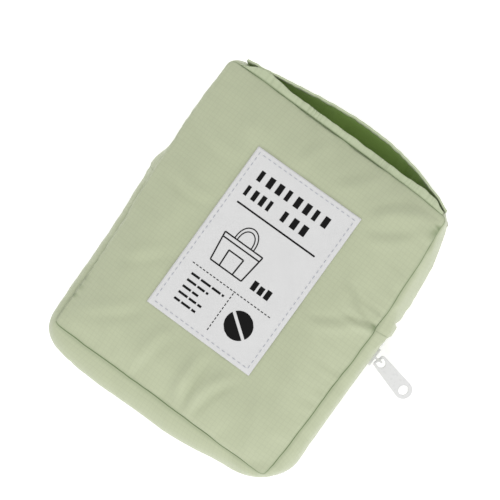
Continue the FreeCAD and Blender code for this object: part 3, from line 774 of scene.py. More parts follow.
class TOTE_OT_shell(bpy.types.Operator):
    """Stuffed front panel, gussets and back, from one closed shell of cloth"""
    bl_idname = "tote.shell"
    bl_label = "Pouch shell"

    def execute(self, context):
        self.cloth = nylon("Ripstop nylon", context.scene.pouch_colours.outer)
        rise = CROWN_LEVEL - FRONT_LEVEL
        front, rings, back = start_shape(CROWN_BEFORE_FILLING * rise)
        front, rings, back = stuffed(front, rings, back)
        front = finer(finer(front, 0), 1)
        rings = finer(finer(rings, 1, ring=True), 0)
        self.dress_walls(rings)
        self.dress_front(front, rings)
        self.front_panel(front)
        self.wall(rings, 0, len(rings) - 1, False, "top_gusset_cloth", "gusset_top")
        self.wall(rings, 0, LAST_FRONT_ROW, True, "front_gusset_cloth", "gusset_front")
        self.wall(rings, FIRST_REAR_ROW, len(rings) - 1, True, "rear_gusset_cloth", "gusset_rear")
        rear = thicken(sheet_mesh("rear_cloth", back, back[..., :2].copy(), flip=True), 0.5 * MM)
        finish_piece(rear, self.cloth, "pouch", ["back_panel"])
        return {"FINISHED"}

    def front_panel(self, front):
        """The puffed panel, with shade painted in its seams and in patches beside them where tucks would
        shade it.
        """
        panel = extra_rows(extra_rows(front, 0), 1)
        marks = painted_seam_shade(*panel.shape[:2])
        x, y = panel[..., 0], panel[..., 1]
        broken = np.clip(0.35 + 1.6 * ripple(panel, 2.6, 9.0, (0.5, 1, 0)), 0, 1)
        # painted shade: dark patches beside the seam, broken up by noise
        for across, along_side, reach in PAINTED_TUCK_SHADE:
            near = np.exp(-((x - across) / 3.2) ** 2 - ((y - along_side) / reach) ** 2)
            marks = np.maximum(marks, 0.8 * near * broken)
        piece = thicken(sheet_mesh("front_cloth", panel, panel[..., :2].copy(), {"seam": marks}),
                        bpy.context.scene.pouch_sizes.cloth)
        finish_piece(piece, self.cloth, "pouch", ["front_panel"])

    def wall(self, rings, first, last, low, name, replaced):
        """One gusset, from these rings. A low one has the zip along an edge, which laps over the tape."""
        wall = self.columns(rings[first:last + 1], rings, low)
        if low:
            rim, lift = (0, ZIP_LAP_LIFT) if first else (-1, -ZIP_LAP_LIFT)
            away = wall[rim] * (1, 1, 0)
            away /= np.linalg.norm(away, axis=1, keepdims=True)
            wall[rim] += ZIP_LAP_OUT * away + np.array((0, 0, lift))
        seam_first, seam_last = not first, bool(first) or not low
        wall = extra_rows(extra_rows(wall, 0, start=seam_first, end=seam_last), 1)
        run = distance_round(wall)
        drop = np.concatenate([[0], np.cumsum(np.linalg.norm(np.diff(wall, axis=0), axis=2).mean(axis=1))])
        weave = np.stack(np.broadcast_arrays(run[None, :], drop[:, None]), axis=2)
        # painted shade along the seams, and less in the crossing seams
        marks = painted_seam_shade(*wall.shape[:2], low=seam_first, high=seam_last,
                           left=CROSS_SEAM_SHADE, right=CROSS_SEAM_SHADE)
        piece = thicken(sheet_mesh(name, wall, weave, {"seam": marks}, flip=True),
                        bpy.context.scene.pouch_sizes.cloth)
        finish_piece(piece, self.cloth, "pouch", [replaced])

    def columns(self, rows, rings, low):
        """The part of these rows below the crossing seams, or above them."""
        level = rings[0, :, 1]
        right = 2 * ACROSS + int(np.argmin(abs(level[2 * ACROSS:2 * (ACROSS + ALONG)] - CROSS_SEAM)))
        start = 2 * (2 * ACROSS + ALONG)
        left = start + int(np.argmin(abs(level[start:] - CROSS_SEAM)))
        if low:
            return np.concatenate([rows[:, left:], rows[:, :right + 1]], axis=1).copy()
        return rows[:, right:left + 1].copy()

    def dress_walls(self, rings):
        """Puckers under the seam and at the crossing seams, and a limit on the bulge."""
        side = np.repeat(outline(HALF_WIDTH, HALF_LENGTH, WALL_CORNER), 2, axis=0)
        sideways = HALF_LENGTH - abs(side[:, 1]) > HALF_WIDTH - abs(side[:, 0])
        way = np.where(sideways[:, None], np.sign(side) * (1, 0), np.sign(side) * (0, 1))
        x, y, z = rings[..., 0], rings[..., 1], rings[..., 2]
        run = np.broadcast_to(np.arange(rings.shape[1]) * COLUMN_STEP, x.shape)
        depth = FRONT_LEVEL - z
        field = np.stack([run, depth, 0 * run], axis=2)
        puckers = 0.4 * ripple(field, 5.2, 3.0, (1, 0.28, 1))
        swell = 0.35 * ripple(field, 26, 5.0, (1, 0.8, 1))
        gathers = 0.9 * ripple(field, 5, 8.0, (0.3, 1, 1)) - 0.3
        near = abs(y - CROSS_SEAM)
        beside = abs(x) > HALF_WIDTH - 3
        bulge = puckers * np.exp(-depth / 5) * np.minimum(depth / 1.5, 1) + swell * np.minimum(depth / 4, 1)
        bulge += beside * np.exp(-near / 6) * gathers
        bulge -= beside * 0.9 * np.exp(-(near / 1.3) ** 2) * np.minimum(depth / 3, 1)
        on_tape = (z <= TAPE_TOP + 0.5) & (y < CROSS_SEAM + 1)
        on_top = (y > HALF_LENGTH - 2) & (abs(x) < HALF_WIDTH - 4)
        bulge = np.where(on_tape | on_top, 0, bulge)
        rings[..., :2] += bulge[..., None] * way[None]
        most = np.where(y > CROSS_SEAM + 8, TOP_BULGE + 1.2, SIDE_BULGE + SWING_ROOM)
        rings[..., 0] = np.clip(rings[..., 0], -HALF_WIDTH - most, HALF_WIDTH + most)
        rings[..., 1] = np.clip(rings[..., 1], -HALF_LENGTH - SIDE_BULGE - LOWER_ROOM, HALF_LENGTH + TOP_ROOM)
        wave = 0.35 * ripple_along(run[0], 11, 2.0)
        rings[0, :, :2] += (wave - 0.2)[:, None] * way
        rings[0, :, 2] -= 0.3 - 0.3 * wave
        self.slump(rings)

    def slump(self, rings):
        """Lets the stuffed walls lean: over on the left, out on the right, up at the top and down below."""
        x, y, z = rings[..., 0].copy(), rings[..., 1].copy(), rings[..., 2]
        depth = FRONT_LEVEL - z
        share = np.clip(depth / (FRONT_LEVEL - TAPE_TOP), 0, 1)
        belly = 4 * share * (1 - share)
        left, right = smooth(*LEFT_SIDE, x), smooth(*RIGHT_SIDE, x)
        rings[..., 0] -= left * np.interp(y, *LEFT_OVERHANG) * np.exp(-(depth / LEFT_DEPTH) ** 2)
        fold = LEFT_FOLD * belly * smooth(*LEFT_FOLD_SPAN, y)
        rings[..., 0] += left * (fold + np.interp(y, *LEFT_TUCK) * smooth(0, 1, share))
        rings[..., 0] += right * np.interp(y, *RIGHT_SEAM) * np.exp(-(depth / RIGHT_DEPTH) ** 2)
        full = np.sin(np.clip((z - BACK_LEVEL) / (FRONT_LEVEL - BACK_LEVEL), 0, 1) * math.pi)
        rings[..., 0] += right * np.interp(y, *RIGHT_WALL) * full ** 0.7
        swing = (y < CROSS_SEAM - 2) & (z > TAPE_TOP - 1)
        most = np.where(swing, HALF_WIDTH + SIDE_BULGE + SWING_ROOM, np.inf)
        rings[..., 0] = np.minimum(rings[..., 0], most)
        rings[..., 1] -= smooth(*LOWER_END, y) * np.interp(x, *LOWER_WALL) * belly ** 0.6 * (share < 1)
        rings[..., 1] += smooth(*LOWER_CORNER, y) * np.interp(x, *LOWER_TUCK) * share
        rings[..., 1] += smooth(*TOP_END, y) * np.interp(x, *TOP_SEAM) * smooth(BACK_LEVEL, 24, z)

    def dress_front(self, front, rings):
        """Drag lines, soft folds and puckers on the front panel, joined to the walls at the seam."""
        x, y = front[..., 0].copy(), front[..., 1].copy()
        to_side, to_end = HALF_WIDTH - abs(x), HALF_LENGTH - abs(y)
        edge = np.clip(np.minimum(to_side, to_end), 0, None)
        run = np.where(to_side < to_end, y, x)
        plane = np.stack([x, y, 0 * x], axis=2)
        seam = np.stack([run, edge, 0 * run], axis=2)
        lumps, folds = 0.7 * ripple(plane, 30, 1.0), 0.35 * ripple(plane, 11, 4.0, (1, 0.45, 1))
        puckers = 0.65 * ripple(seam, 4.5, 6.0, (1, 0.25, 1))
        height = lumps + folds
        height += puckers * np.exp(-edge / 5)
        for fold in DRAG_LINES:
            height += DRAG_STRENGTH * crease(x, y, fold)
        under_label = smooth(36, 26, abs(x)) * smooth(54, 44, abs(y - 5))
        height *= (1 - LABEL_CALM * under_label) * np.minimum(edge / SEAM_CALM, 1)
        front += height[..., None] * normals_of(front)
        by_side = np.exp(-(to_side / SLUMP_REACH) ** 2)
        front[..., 0] -= (LEFT_EXTRA + np.interp(y, *LEFT_OVERHANG)) * by_side * (x < 0)
        front[..., 0] += np.interp(y, *RIGHT_SEAM) * by_side * (x > 0)
        front[..., 1] += np.interp(x, *TOP_SEAM) * smooth(20, 0, to_end) * (y > 0)
        front[..., 2] = np.maximum(front[..., 2], FRONT_LEVEL + 0.2 + 2.2 * smooth(1, 12, edge))
        places = rim_places(2 * ACROSS, 2 * ALONG)
        front[places[:, 0], places[:, 1]] = rings[0]


# the sleeve's mouth (mm): where it gapes most, how far, and how its ends differ from the CAD wall's
MOUTH_CREST, MOUTH_GAPE, MOUTH_SHUT = 11.7, 7.6, 6.3
MOUTH_REACH, MOUTH_CURVE = 1.08, 1.15
MOUTH_LONGER_LEFT, MOUTH_SHORTER_RIGHT = 2.4, 3.2
WALL_HANG_LINE, WALL_NARROWING = 84.2, 0.05
# facing: from and to across (mm), and how much wider it is beyond
FACING_WIDTHS = ((-34, -50, 1.5), (-52, -63, -3.6), (36, 50, 1.2), (54, 62, -1.6))
PLEAT_PITCH, PLEAT_HEIGHT = 2.3, 0.42


def mouth_line(x):
    """Outer face of the sleeve's wall along the top (mm)."""
    left, right = cad("sleeve_mouth_wall", 0, 0), cad("sleeve_mouth_wall", 0, 1)
    low = cad("sleeve_mouth_wall", 1, 1) - MOUTH_SHUT
    t = np.where(x < MOUTH_CREST, (MOUTH_CREST - x) / (MOUTH_CREST - left),
                 (x - MOUTH_CREST) / (right - MOUTH_CREST))
    gape = MOUTH_GAPE * np.cos(np.clip(t * MOUTH_REACH, 0, 1) * math.pi / 2) ** MOUTH_CURVE
    return low + gape + np.interp(x, *TOP_EDGE)


def flat_grid(rows, x):
    """A grid with this many rows at these places across (mm)."""
    grid = np.zeros((rows, len(x), 3))
    grid[..., 0] = x[None]
    return grid


class TOTE_OT_sleeve(bpy.types.Operator):
    """The open sleeve behind the pouch: back cloth, gaping wall, hem and the pleated facing"""
    bl_idname = "tote.sleeve"
    bl_label = "Sleeve and facing"

    def execute(self, context):
        colours = context.scene.pouch_colours
        cloth = nylon("Ripstop nylon", colours.outer)
        sleeve_shade_and_glow = nylon("Sleeve inside, painted shade and glow", colours.sleeve_shade_and_glow, 0.02)
        # painted light: the sleeve's inside glows a little in its own colour, as if lit through the cloth
        shader_of(sleeve_shade_and_glow).inputs["Emission Color"].default_value = tuple(colours.sleeve_shade_and_glow)
        shader_of(sleeve_shade_and_glow).inputs["Emission Strength"].default_value = 0.22
        strip = nylon("Facing nylon", colours.facing, 0.02)
        left = cad("sleeve_mouth_wall", 0, 0) - MOUTH_LONGER_LEFT
        right = cad("sleeve_mouth_wall", 0, 1) - MOUTH_SHORTER_RIGHT
        x = np.linspace(left, right, 170)
        line = mouth_line(x)
        z = np.linspace(cad("sleeve_mouth_wall", 2, 0), cad("sleeve_mouth_wall", 2, 1), 26)
        grid = flat_grid(len(z), x)
        grid[..., 2] = z[:, None]
        share = (z - z[0]) / (z[-1] - z[0])
        fold = 1.1 * ripple(grid, 5, 12.0, (1, 1, 0.2)) * np.sin(share * math.pi)[:, None]
        fold *= smooth(0, 12, np.minimum(x - left, right - x))[None]
        depth = (z[-1] - z)[:, None]
        hang = smooth(1, 17, depth) * (1 - smooth(23, 35, depth))
        hang = hang * np.maximum(line - WALL_HANG_LINE, 0)[None]
        grid[..., 1] = line[None] - 0.4 + np.minimum(fold, 0.15) - hang
        grid[..., 0] *= 1 - WALL_NARROWING * ((z[-1] - z) / (z[-1] - z[0]))[:, None] ** 2
        wall = sheet_mesh("sleeve_wall_cloth", grid, grid[..., [0, 2]].copy(), flip=True)
        finish_piece(thicken(wall, 0.5 * MM, 0), cloth, "pouch", ["sleeve_mouth_wall"])
        # the wall's inner face takes the painted shade and glow
        wall.data.materials.append(sleeve_shade_and_glow)
        wall.modifiers["Thickness"].material_offset = 1
        hem = finish_piece(self.hem(x, line, z[-1]), strip, "pouch", ["sleeve_hem"])
        self.back(cloth, left, right)
        self.facing(strip)
        return {"FINISHED"}

    def hem(self, x, line, top):
        """The turned edge of the wall: up its outer face, over the edge, and down inside."""
        turn = np.linspace(0, math.pi, 7)
        over = [(-0.25 + 0.5 * math.cos(a), -0.5 + 0.45 * math.sin(a)) for a in turn]
        profile = np.array([(0.2, -5.0), (0.24, -2.5)] + over + [(-0.8, -2.0), (-0.95, -3.6)])
        grid = flat_grid(len(profile), x)
        wave = 0.12 * ripple_along(x, 3.2, 21.0)
        grid[..., 1] = line[None] + profile[:, :1] + wave[None]
        grid[..., 2] = top + 0.1 + profile[:, 1:] + 0.5 * wave[None]
        weave = np.stack(np.broadcast_arrays(x[None], np.arange(len(profile))[:, None] * 1.0), axis=2)
        return thicken(sheet_mesh("sleeve_hem_band", grid, weave), 0.25 * MM, 0)

    def back(self, cloth, left, right):
        """The outer layer under the pouch, with round lower corners, up to the mouth's line."""
        low_x, high_x = cad("back_sleeve", 0, 0) + 0.3, cad("back_sleeve", 0, 1) - 0.3
        x = np.linspace(low_x, high_x, 90)
        corner = 8.0
        inset = np.clip(corner - np.minimum(x - low_x, high_x - x), 0, corner)
        bend = corner - np.sqrt(corner ** 2 - inset ** 2)
        low = cad("back_sleeve", 1, 0) + bend
        high = mouth_line(np.clip(x, left, right)) - 0.35 * bend
        v = np.linspace(0, 1, 110)[:, None]
        grid = flat_grid(len(v), x)
        grid[..., 1] = low[None] * (1 - v) + high[None] * v
        grid[..., 2] = 0.4 + 0.13 * ripple(grid * np.array((1, 1, 0)), 18, 31.0)
        piece = thicken(sheet_mesh("back_sleeve_cloth", grid, grid[..., :2].copy(), flip=True), 0.4 * MM, 0)
        finish_piece(piece, cloth, "pouch", ["back_sleeve"])

    def facing(self, cloth):
        """The finely pleated strip along the top seam, ragged along its free edge, with shade painted in its
        pleats' valleys and its seam.
        """
        left, right = cad("top_facing", 0, 0) - MOUTH_LONGER_LEFT, cad("top_facing", 0, 1)
        inner, outer = HALF_LENGTH - 0.2, cad("top_facing", 1, 1) - 0.9
        x = np.linspace(left, right, 260)
        v = np.linspace(0, 1, 9)[:, None]
        ragged = 0.22 * ripple_along(x, 6, 41.0)
        phase = x / PLEAT_PITCH + 1.8 * ripple_along(x, 9, 43.0)
        pleat = PLEAT_HEIGHT * np.sin(2 * math.pi * phase) * (0.55 + 0.45 * ripple_along(x, 14, 47.0))
        for start, end, wider in FACING_WIDTHS:
            outer = outer + wider * smooth(start, end, x)
        grid = flat_grid(len(v), x)
        grid[..., 0] += 0.25 * v * pleat[None]
        grid[..., 1] = inner + (outer - inner + ragged)[None] * v
        grid[..., 1] += np.interp(x, *TOP_SEAM)[None] * (1 - v) + np.interp(x, *TOP_EDGE)[None] * v
        grid[..., 2] = FRONT_LEVEL - 0.45 + pleat[None] * (0.35 + 0.65 * v) + 0.25 * np.sin(v * math.pi)
        # painted shade in the pleats' valleys, and full at the seam along the strip's inner edge
        marks = np.broadcast_to(0.3 * np.clip(-pleat / PLEAT_HEIGHT, 0, 1) ** 2, grid.shape[:2]).copy()
        marks[:2] = [[1], [0.4]]
        piece = thicken(sheet_mesh("facing_strip", grid, grid[..., :2].copy(), {"seam": marks}), 0.45 * MM)
        finish_piece(piece, cloth, "pouch", ["top_facing"])


# label layout in half millimetres from its upper left corner: left, top, right, bottom, and words in a row
WORD_BARS = ((17.5, 17.5, 107, 29, 8), (15, 37, 51, 48, 4), (60, 37, 94.5, 48, 3))
RULE = (15, 56.1, 110, 57.9)
SMALL_LINES = ((141, 60), (148.5, 46), (156, 39), (163, 48), (170.5, 46))
DOTTED_ACROSS, DOTTED_DOWN = (14.5, 109, 131, 132, 110), (133, 177, 65.5, 66.5, 178)
DOT_STEP, DOT_LENGTH = 4.2, 2.6
VOLUME_BARS = (76, 110, 5.5, 120)
BAG_LINES = (((23, 88), (69, 88)), ((69, 88), (65, 119)), ((65, 119), (27, 119)), ((27, 119), (23, 88)),
             ((23.6, 93), (68.4, 93)), ((37, 101), (55, 101)), ((37, 101), (38, 119)), ((55, 101), (54, 119)))
BAG_HANDLES = ((11.5, 18), (8.5, 14))
ROUND_MARK = (89, 156, 15, 1.6)
STITCH_INSET = 2.5
PRINT_LIFT = 0.05
LABEL_SMOOTHING, LABEL_LIFT = 30, 0.5  # how often it is evened out over the panel's folds, and its lift (mm)


class TOTE_OT_label(bpy.types.Operator):
    """Woven label on the front panel, its print and its stitches"""
    bl_idname = "tote.label"
    bl_label = "Label"

    def execute(self, context):
        colours = context.scene.pouch_colours
        ground = surface_of(bpy.data.objects["front_cloth"])
        left, right = cad("label", 0, 0), cad("label", 0, 1)
        low, high = cad("label", 1, 0), cad("label", 1, 1)
        x, y = np.meshgrid(np.linspace(left, right, 64), np.linspace(low, high, 96))
        floor = np.array([height_on(ground, a, b, CROWN_LEVEL) for a, b in zip(x.ravel(), y.ravel())])
        floor = floor.reshape(x.shape)
        level = floor.copy()
        for _ in range(LABEL_SMOOTHING):
            wide = np.pad(level, 1, mode="edge")
            level = (wide[:-2, 1:-1] + wide[2:, 1:-1] + wide[1:-1, :-2] + wide[1:-1, 2:]) / 4
            level = np.maximum(level, floor)
        edge = np.minimum(np.minimum(x - left, right - x), np.minimum(y - low, high - y))
        pucker = 0.16 * ripple(np.stack([x, y, 0 * x], 2), 6, 51.0) * np.exp(-edge / 4)
        grid = np.stack([x, y, level + LABEL_LIFT + np.maximum(pucker, -0.1)], axis=2)
        label = thicken(sheet_mesh("woven_label", grid, grid[..., :2].copy()), 0.3 * MM)
        weave = woven("Label weave", colours.label, 0.5, 0.3)
        finish_piece(label, weave, "pouch", ["label"])
        self.tree = surface_of(label)
        self.corner = (left, high)
        ink = hard("Print ink", colours.ink, 0.6)
        shader_of(ink).inputs["Specular IOR Level"].default_value = 0.1
        self.print_marks(ink)
        self.stitches(left + STITCH_INSET, right - STITCH_INSET, low + STITCH_INSET, high - STITCH_INSET,
                      solid_cloth("Sewing thread", colours.thread))
        return {"FINISHED"}

    def stitches(self, left, right, low, high, thread):
        """One row of stitches round the label."""
        rim = [(left, low), (right, low), (right, high), (left, high), (left, low)]
        path = []
        for (ax, ay), (bx, by) in zip(rim, rim[1:]):
            for t in np.linspace(0, 1, 60)[:-1]:
                px, py = ax + (bx - ax) * t, ay + (by - ay) * t
                path.append((px, py, height_on(self.tree, px, py, CROWN_LEVEL)))
        finish_piece(stitch_row("label_stitches", path, (0, 0, 1)), thread, "pouch")

    def lay(self, u, v):
        """A layout point on the label's surface (mm)."""
        x, y = self.corner[0] + u / 2, self.corner[1] - v / 2
        return x, y, height_on(self.tree, x, y, CROWN_LEVEL + LABEL_LIFT) + PRINT_LIFT

    def patch(self, left, top, right, low):
        """A printed rectangle."""
        cols = max(2, int((right - left) / 3) + 1)
        rows = max(2, int((low - top) / 3) + 1)
        us, vs = np.linspace(left, right, cols), np.linspace(low, top, rows)
        self.add([[self.lay(u, v) for u in us] for v in vs])

    def ribbon(self, line, width):
        """A printed line of this width through layout points."""
        line = np.asarray(line, float)
        way = np.gradient(line, axis=0)
        way /= np.linalg.norm(way, axis=1, keepdims=True)
        side = np.stack([-way[:, 1], way[:, 0]], 1) * width / 2
        self.add([[self.lay(*p) for p in line - side], [self.lay(*p) for p in line + side]])

    def add(self, grid):
        """Adds a grid of points to the print."""
        rows, cols = len(grid), len(grid[0])
        base = len(self.points)
        self.points += [p for row in grid for p in row]
        for j in range(rows - 1):
            for i in range(cols - 1):
                a = base + j * cols + i
                self.faces.append((a, a + 1, a + cols + 1, a + cols))

    def print_marks(self, ink):
        """Plain bars in place of words, a tote in outline, dotted lines and a round mark."""
        self.points, self.faces = [], []
        for left, top, right, low, count in WORD_BARS:
            step = (right - left) / count
            for k in range(count):
                lean = 0.56 if k % 3 else 0.42
                self.patch(left + k * step, top, left + (k + lean) * step, low)
        self.patch(*RULE)
        for level, end in SMALL_LINES:
            start = 20
            while start < end:
                stop = min(start + 7 + (int(level) * 3 + start) % 5, end)
                self.patch(start, level - 1.1, stop, level + 1.3)
                start = stop + 1.8
        start, stop, top, low, end = DOTTED_ACROSS
        for u in np.arange(start, stop, DOT_STEP):
            self.patch(u, top, min(u + DOT_LENGTH, end), low)
        start, stop, left, right, end = DOTTED_DOWN
        for v in np.arange(start, stop, DOT_STEP):
            self.patch(left, v, right, min(v + DOT_LENGTH, end))
        self.bag()
        left, top, width, low = VOLUME_BARS
        for k in range(3):
            self.patch(left + k * 8, top + (k % 2) * 1.2, left + width + k * 8, low)
        self.disc(*ROUND_MARK)
        obj = raw_mesh("label_print", self.points, self.faces, False)
        thicken(obj, 0.03 * MM, 0)
        finish_piece(obj, ink, "pouch")

    def disc(self, u, v, radius, gap):
        """A round mark in two halves, with a slanting gap between them."""
        way, side = np.array((0.8, 0.6)), np.array((-0.6, 0.8))
        for sign in (1, -1):
            rows = []
            for off in np.linspace(gap, radius, 12):
                half = math.sqrt(max(radius ** 2 - off ** 2, 0.01))
                rows.append([self.lay(*(np.array((u, v)) + way * t + side * sign * off))
                             for t in np.linspace(-half, half, 16)])
            self.add(rows)

    def bag(self):
        """A plain tote drawn in outline: body, top hem, a pocket and two handles."""
        for a, b in BAG_LINES:
            a, b = np.array(a), np.array(b)
            self.ribbon([a + (b - a) * t for t in np.linspace(0, 1, 9)[:-1]] + [b], 1.5)
        for reach, rise in BAG_HANDLES:
            turn = np.linspace(0, math.pi, 25)
            self.ribbon(np.stack([46 + reach * np.cos(turn), 88 - rise * np.sin(turn) ** 0.8], 1), 1.2)


ZIP_CORNERS = (5, 13)  # radii of the zip's lower left and lower right corners, at the seam (mm)
COIL_STEPS = 12  # points in one loop
COIL_WIDE, COIL_HIGH, COIL_WIRE = 0.82, 0.93, 0.26


class TOTE_OT_zip(bpy.types.Operator):
    """Woven tapes, the two coils, stops, slider and pull"""
    bl_idname = "tote.zip"
    bl_label = "Zip"

    def execute(self, context):
        colours = context.scene.pouch_colours
        tape = woven("Zip tape weave", colours.tape, 0.9)
        coil = hard("Zip coil", colours.tape, 0.35)
        enamel = hard("White enamel", colours.metal, 0.3, 0.5)
        for side in ("front", "rear"):
            self.tape(side, tape)
            self.coil(side, coil)
            if side == "front":
                self.stitches(solid_cloth("Sewing thread", colours.thread))
        for name in ("zip_top_stops", "zip_bottom_stop", "slider_body", "zip_pull"):
            refinish(name, enamel, 0.12, 50)
        return {"FINISHED"}

    def tape(self, side, material):
        """One woven tape, standing on edge along the zip's line."""
        name = "zip_tape_" + side
        path = self.path(TAPE_OUT - 0.3, cad(name, 1, 1))
        z = np.linspace(cad(name, 2, 1), cad(name, 2, 0), 6)[:, None, None]
        grid = np.concatenate([np.broadcast_to(path[None], (len(z),) + path.shape),
                               np.broadcast_to(z, (len(z), len(path), 1))], axis=2)
        weave = np.stack(np.broadcast_arrays(distance_round(grid)[None], z[..., 0]), axis=2)
        piece = thicken(sheet_mesh("tape_band_" + side, grid, weave, flip=True), 0.6 * MM, 0)
        finish_piece(piece, material, "pouch", [name])

    def stitches(self, thread):
        """Stitching on the edge of the front tape. stitch_row makes only the first stitch from this list."""
        row = self.path(TAPE_OUT + 0.75, cad("zip_tape_front", 1, 1) - 2)
        row = np.concatenate([row, np.full((len(row), 1), TAPE_TOP + 1.0)], axis=1)
        way = np.gradient(row, axis=0)
        away = np.stack([way[:, 1], -way[:, 0], 0 * way[:, 0]], 1)
        away /= np.linalg.norm(away, axis=1, keepdims=True)
        finish_piece(stitch_row("tape_stitches_front", row, away), thread, "pouch")

    def path(self, out, end):
        """The zip's line this far past the seam: from the left end, round the bottom, to the right end."""
        ring, wider = (outline(HALF_WIDTH + out, HALF_LENGTH + out, radius + out) for radius in ZIP_CORNERS)
        ring = np.where(ring[:, :1] > 0, wider, ring)
        ring[:, 1] += smooth(*LOWER_CORNER, ring[:, 1]) * np.interp(ring[:, 0], *LOWER_TUCK)
        ring[:, 0] += smooth(*LEFT_SIDE, ring[:, 0]) * np.interp(ring[:, 1], *LEFT_TUCK)
        right = ACROSS + np.arange(ALONG)
        rising = right[ring[right, 1] < end]
        left = 2 * ACROSS + ALONG + np.arange(ALONG)
        falling = left[ring[left, 1] < end]
        line = np.concatenate([ring[falling], ring[:ACROSS], ring[rising]])
        return np.concatenate([[[line[0, 0], end]], line, [[line[-1, 0], end]]])

    def coil(self, side, material):
        """The nylon coil along one tape: a fine wire in loops, the two sides' loops in turn."""
        name = "zip_coil_" + side
        pitch = bpy.context.scene.pouch_sizes.coil_pitch / MM
        middle = (cad(name, 2, 0) + cad(name, 2, 1)) / 2
        out = cad(name, 0, 1) - HALF_WIDTH - 1.1
        line = self.path(out, cad(name, 1, 1) - 0.3)
        line = np.concatenate([line, np.full((len(line), 1), middle)], axis=1)
        spots, ways = along(line, pitch / COIL_STEPS)
        turn = np.arange(len(spots)) * 2 * math.pi / COIL_STEPS + (0 if side == "front" else math.pi)
        away = np.stack([ways[:, 1], -ways[:, 0], 0 * ways[:, 0]], 1)
        centre = spots + COIL_WIDE * np.cos(turn)[:, None] * away
        centre[:, 2] += COIL_HIGH * np.sin(turn)
        curve = bpy.data.curves.new("coil_" + side, "CURVE")
        curve.dimensions = "3D"
        curve.bevel_depth = COIL_WIRE * MM
        curve.bevel_resolution = 1
        curve.use_fill_caps = True
        spline = curve.splines.new("POLY")
        spline.points.add(len(centre) - 1)
        spline.points.foreach_set("co", np.concatenate([centre * MM, np.ones((len(centre), 1))], 1).ravel())
        made = placed("coil_" + side, curve)
        mesh = bpy.data.meshes.new_from_object(made)
        bpy.data.objects.remove(made)
        mesh.polygons.foreach_set("use_smooth", [True] * len(mesh.polygons))
        finish_piece(placed("coil_loops_" + side, mesh), material, "pouch", [name])


TOTE_LAYERS = 6


class TOTE_OT_contents(bpy.types.Operator):
    """The folded tote inside, its handles and the bound seams"""
    bl_idname = "tote.contents"
    bl_label = "Folded tote"

    def execute(self, context):
        colours = context.scene.pouch_colours
        path = self.fold_line()
        x = np.linspace(cad("tote_body", 0, 0) + 0.5, cad("tote_body", 0, 1) - 0.5, 60)
        grid = flat_grid(len(path), x)
        grid[..., 1], grid[..., 2] = path[:, :1], path[:, 1:]
        grid[..., 2] += 0.3 * ripple(grid, 11, 61.0)
        run = np.concatenate([[0], np.cumsum(np.linalg.norm(np.diff(path, axis=0), axis=1))])
        weave = np.stack(np.broadcast_arrays(x[None], run[:, None]), axis=2)
        stack = thicken(sheet_mesh("folded_tote_cloth", grid, weave), 3.4 * MM, 0)
        finish_piece(stack, nylon("Tote nylon", colours.tote), "pouch", ["tote_body"])
        for name in ("tote_handle_front", "tote_handle_back", "tote_anchor_tape"):
            refinish(name, solid_cloth("Webbing", colours.tape), 0.15)
        for name in ("tote_handle_patches", "tote_mouth_hem", "back_seam_binding", "front_seam_binding",
                     "cross_seam_binding_left", "cross_seam_binding_right"):
            refinish(name, solid_cloth("Binding", colours.facing), 0.15)
        return {"FINISHED"}

    def fold_line(self):
        """The tote's cloth seen from the side: layers to and fro, joined by round folds."""
        y0, y1 = cad("tote_body", 1, 0), cad("tote_body", 1, 1)
        z0, z1 = cad("tote_body", 2, 0), cad("tote_body", 2, 1)
        step = (z1 - z0) / TOTE_LAYERS
        bend = step / 2
        path = []
        for layer in range(TOTE_LAYERS):
            level = z0 + step * (layer + 0.5)
            side = 1 if layer % 2 == 0 else -1
            ends = (y0 + bend + 2, y1 - bend - 2)[::side]
            path += [(y, level) for y in np.linspace(*ends, 40)]
            if layer < TOTE_LAYERS - 1:
                path += [(ends[1] + side * bend * math.sin(a), level + bend - bend * math.cos(a))
                         for a in np.linspace(0, math.pi, 8)[1:-1]]
        return np.array(path)


FLOOR_REACH, FLOOR_LEVEL = 3000, -0.1  # half the floor's side, and its height (mm)
FLOOR_GLOW, SKY = 0.36, 0.75
# name, place, size (m) and power (W) of each lamp, and the point that they face
LAMPS = (("key", (0.8, -0.75, 0.55), 0.6, 4.6), ("fill", (-0.8, -0.3, 0.9), 1.0, 1.5),
         ("top", (0.1, 0.5, 1.3), 1.0, 2.2))
LAMP_AIM = Vector((0, 0, 0.02))
# camera: the point at the middle of its view, its right-hand direction, lean, lens and width of view
CAMERA_AIM, CAMERA_RIGHT = Vector((-0.0053, 0.0086, 0.038)), Vector((0.813, 0.582, 0))
CAMERA_LEAN, LENS, FIELD = 8, 120, 0.250


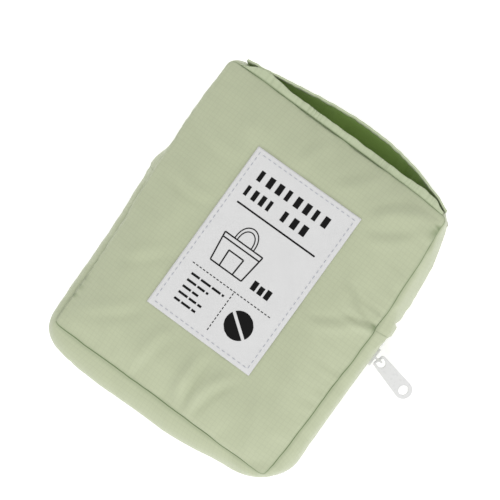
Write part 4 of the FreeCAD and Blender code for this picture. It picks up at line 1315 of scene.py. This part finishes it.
class TOTE_OT_stage(bpy.types.Operator):
    """Pale floor, soft studio light and the camera"""
    bl_idname = "tote.stage"
    bl_label = "Stage"

    def execute(self, context):
        scene = context.scene
        scene.view_settings.view_transform = "Standard"
        signs = ((-1, -1), (1, -1), (1, 1), (-1, 1))
        floor = raw_mesh("floor", [(x * FLOOR_REACH, y * FLOOR_REACH, FLOOR_LEVEL) for x, y in signs],
                         [(0, 1, 2, 3)], False)
        pale = hard("Studio floor", (0.93, 0.93, 0.93, 1), 0.9)
        shader_of(pale).inputs["Emission Color"].default_value = (1, 1, 1, 1)
        shader_of(pale).inputs["Emission Strength"].default_value = FLOOR_GLOW
        floor.data.materials.append(pale)
        scene.world = bpy.data.worlds.new("Studio")
        scene.world.use_nodes = True
        sky = scene.world.node_tree.nodes["Background"]
        sky.inputs["Color"].default_value = (1, 1, 1, 1)
        sky.inputs["Strength"].default_value = SKY
        for name, place, size, power in LAMPS:
            lamp = bpy.data.lights.new(name, "AREA")
            lamp.size = size
            lamp.energy = power
            obj = placed(name, lamp)
            obj.location = place
            obj.rotation_mode = "QUATERNION"
            obj.rotation_quaternion = (LAMP_AIM - obj.location).to_track_quat("-Z", "Y")
        lean = math.radians(CAMERA_LEAN)
        back = Vector((math.sin(lean), 0, math.cos(lean)))
        right = (CAMERA_RIGHT - CAMERA_RIGHT.dot(back) * back).normalized()
        lens = bpy.data.cameras.new("Camera")
        lens.lens = LENS
        reach = FIELD / 2 / (lens.sensor_width / 2 / lens.lens)
        scene.camera = placed("Camera", lens)
        scene.camera.matrix_world = Matrix.Translation(CAMERA_AIM + back * reach) @ \
            Matrix((right, back.cross(right), back)).transposed().to_4x4()
        return {"FINISHED"}


class TOTE_PT_panel(bpy.types.Panel):
    """Sizes, colours and the pieces in the order that they are made"""
    bl_idname = "TOTE_PT_panel"
    bl_label = "Packed tote"
    bl_space_type = "VIEW_3D"
    bl_region_type = "UI"
    bl_category = "Tote"

    def draw(self, context):
        for group in (context.scene.pouch_sizes, context.scene.pouch_colours):
            box = self.layout.box()
            for key in group.__annotations__:
                box.prop(group, key)
        for operator in OPERATORS:
            self.layout.operator(operator.bl_idname)


OPERATORS = (TOTE_OT_stage, TOTE_OT_shell, TOTE_OT_sleeve, TOTE_OT_label, TOTE_OT_zip, TOTE_OT_contents)
CLASSES = (PouchSizes, PouchColours) + OPERATORS + (TOTE_PT_panel,)


def register():
    for cls in CLASSES:
        bpy.utils.register_class(cls)
    bpy.types.Scene.pouch_sizes = PointerProperty(type=PouchSizes)
    bpy.types.Scene.pouch_colours = PointerProperty(type=PouchColours)


def unregister():
    del bpy.types.Scene.pouch_colours
    del bpy.types.Scene.pouch_sizes
    for cls in reversed(CLASSES):
        bpy.utils.unregister_class(cls)


def main():
    register()
    for operator in OPERATORS:
        space, call = operator.bl_idname.split(".")
        result = getattr(getattr(bpy.ops, space), call)()
        if "FINISHED" not in result:
            raise RuntimeError(operator.bl_label + " did not finish")


if __name__ == "__main__":
    main()
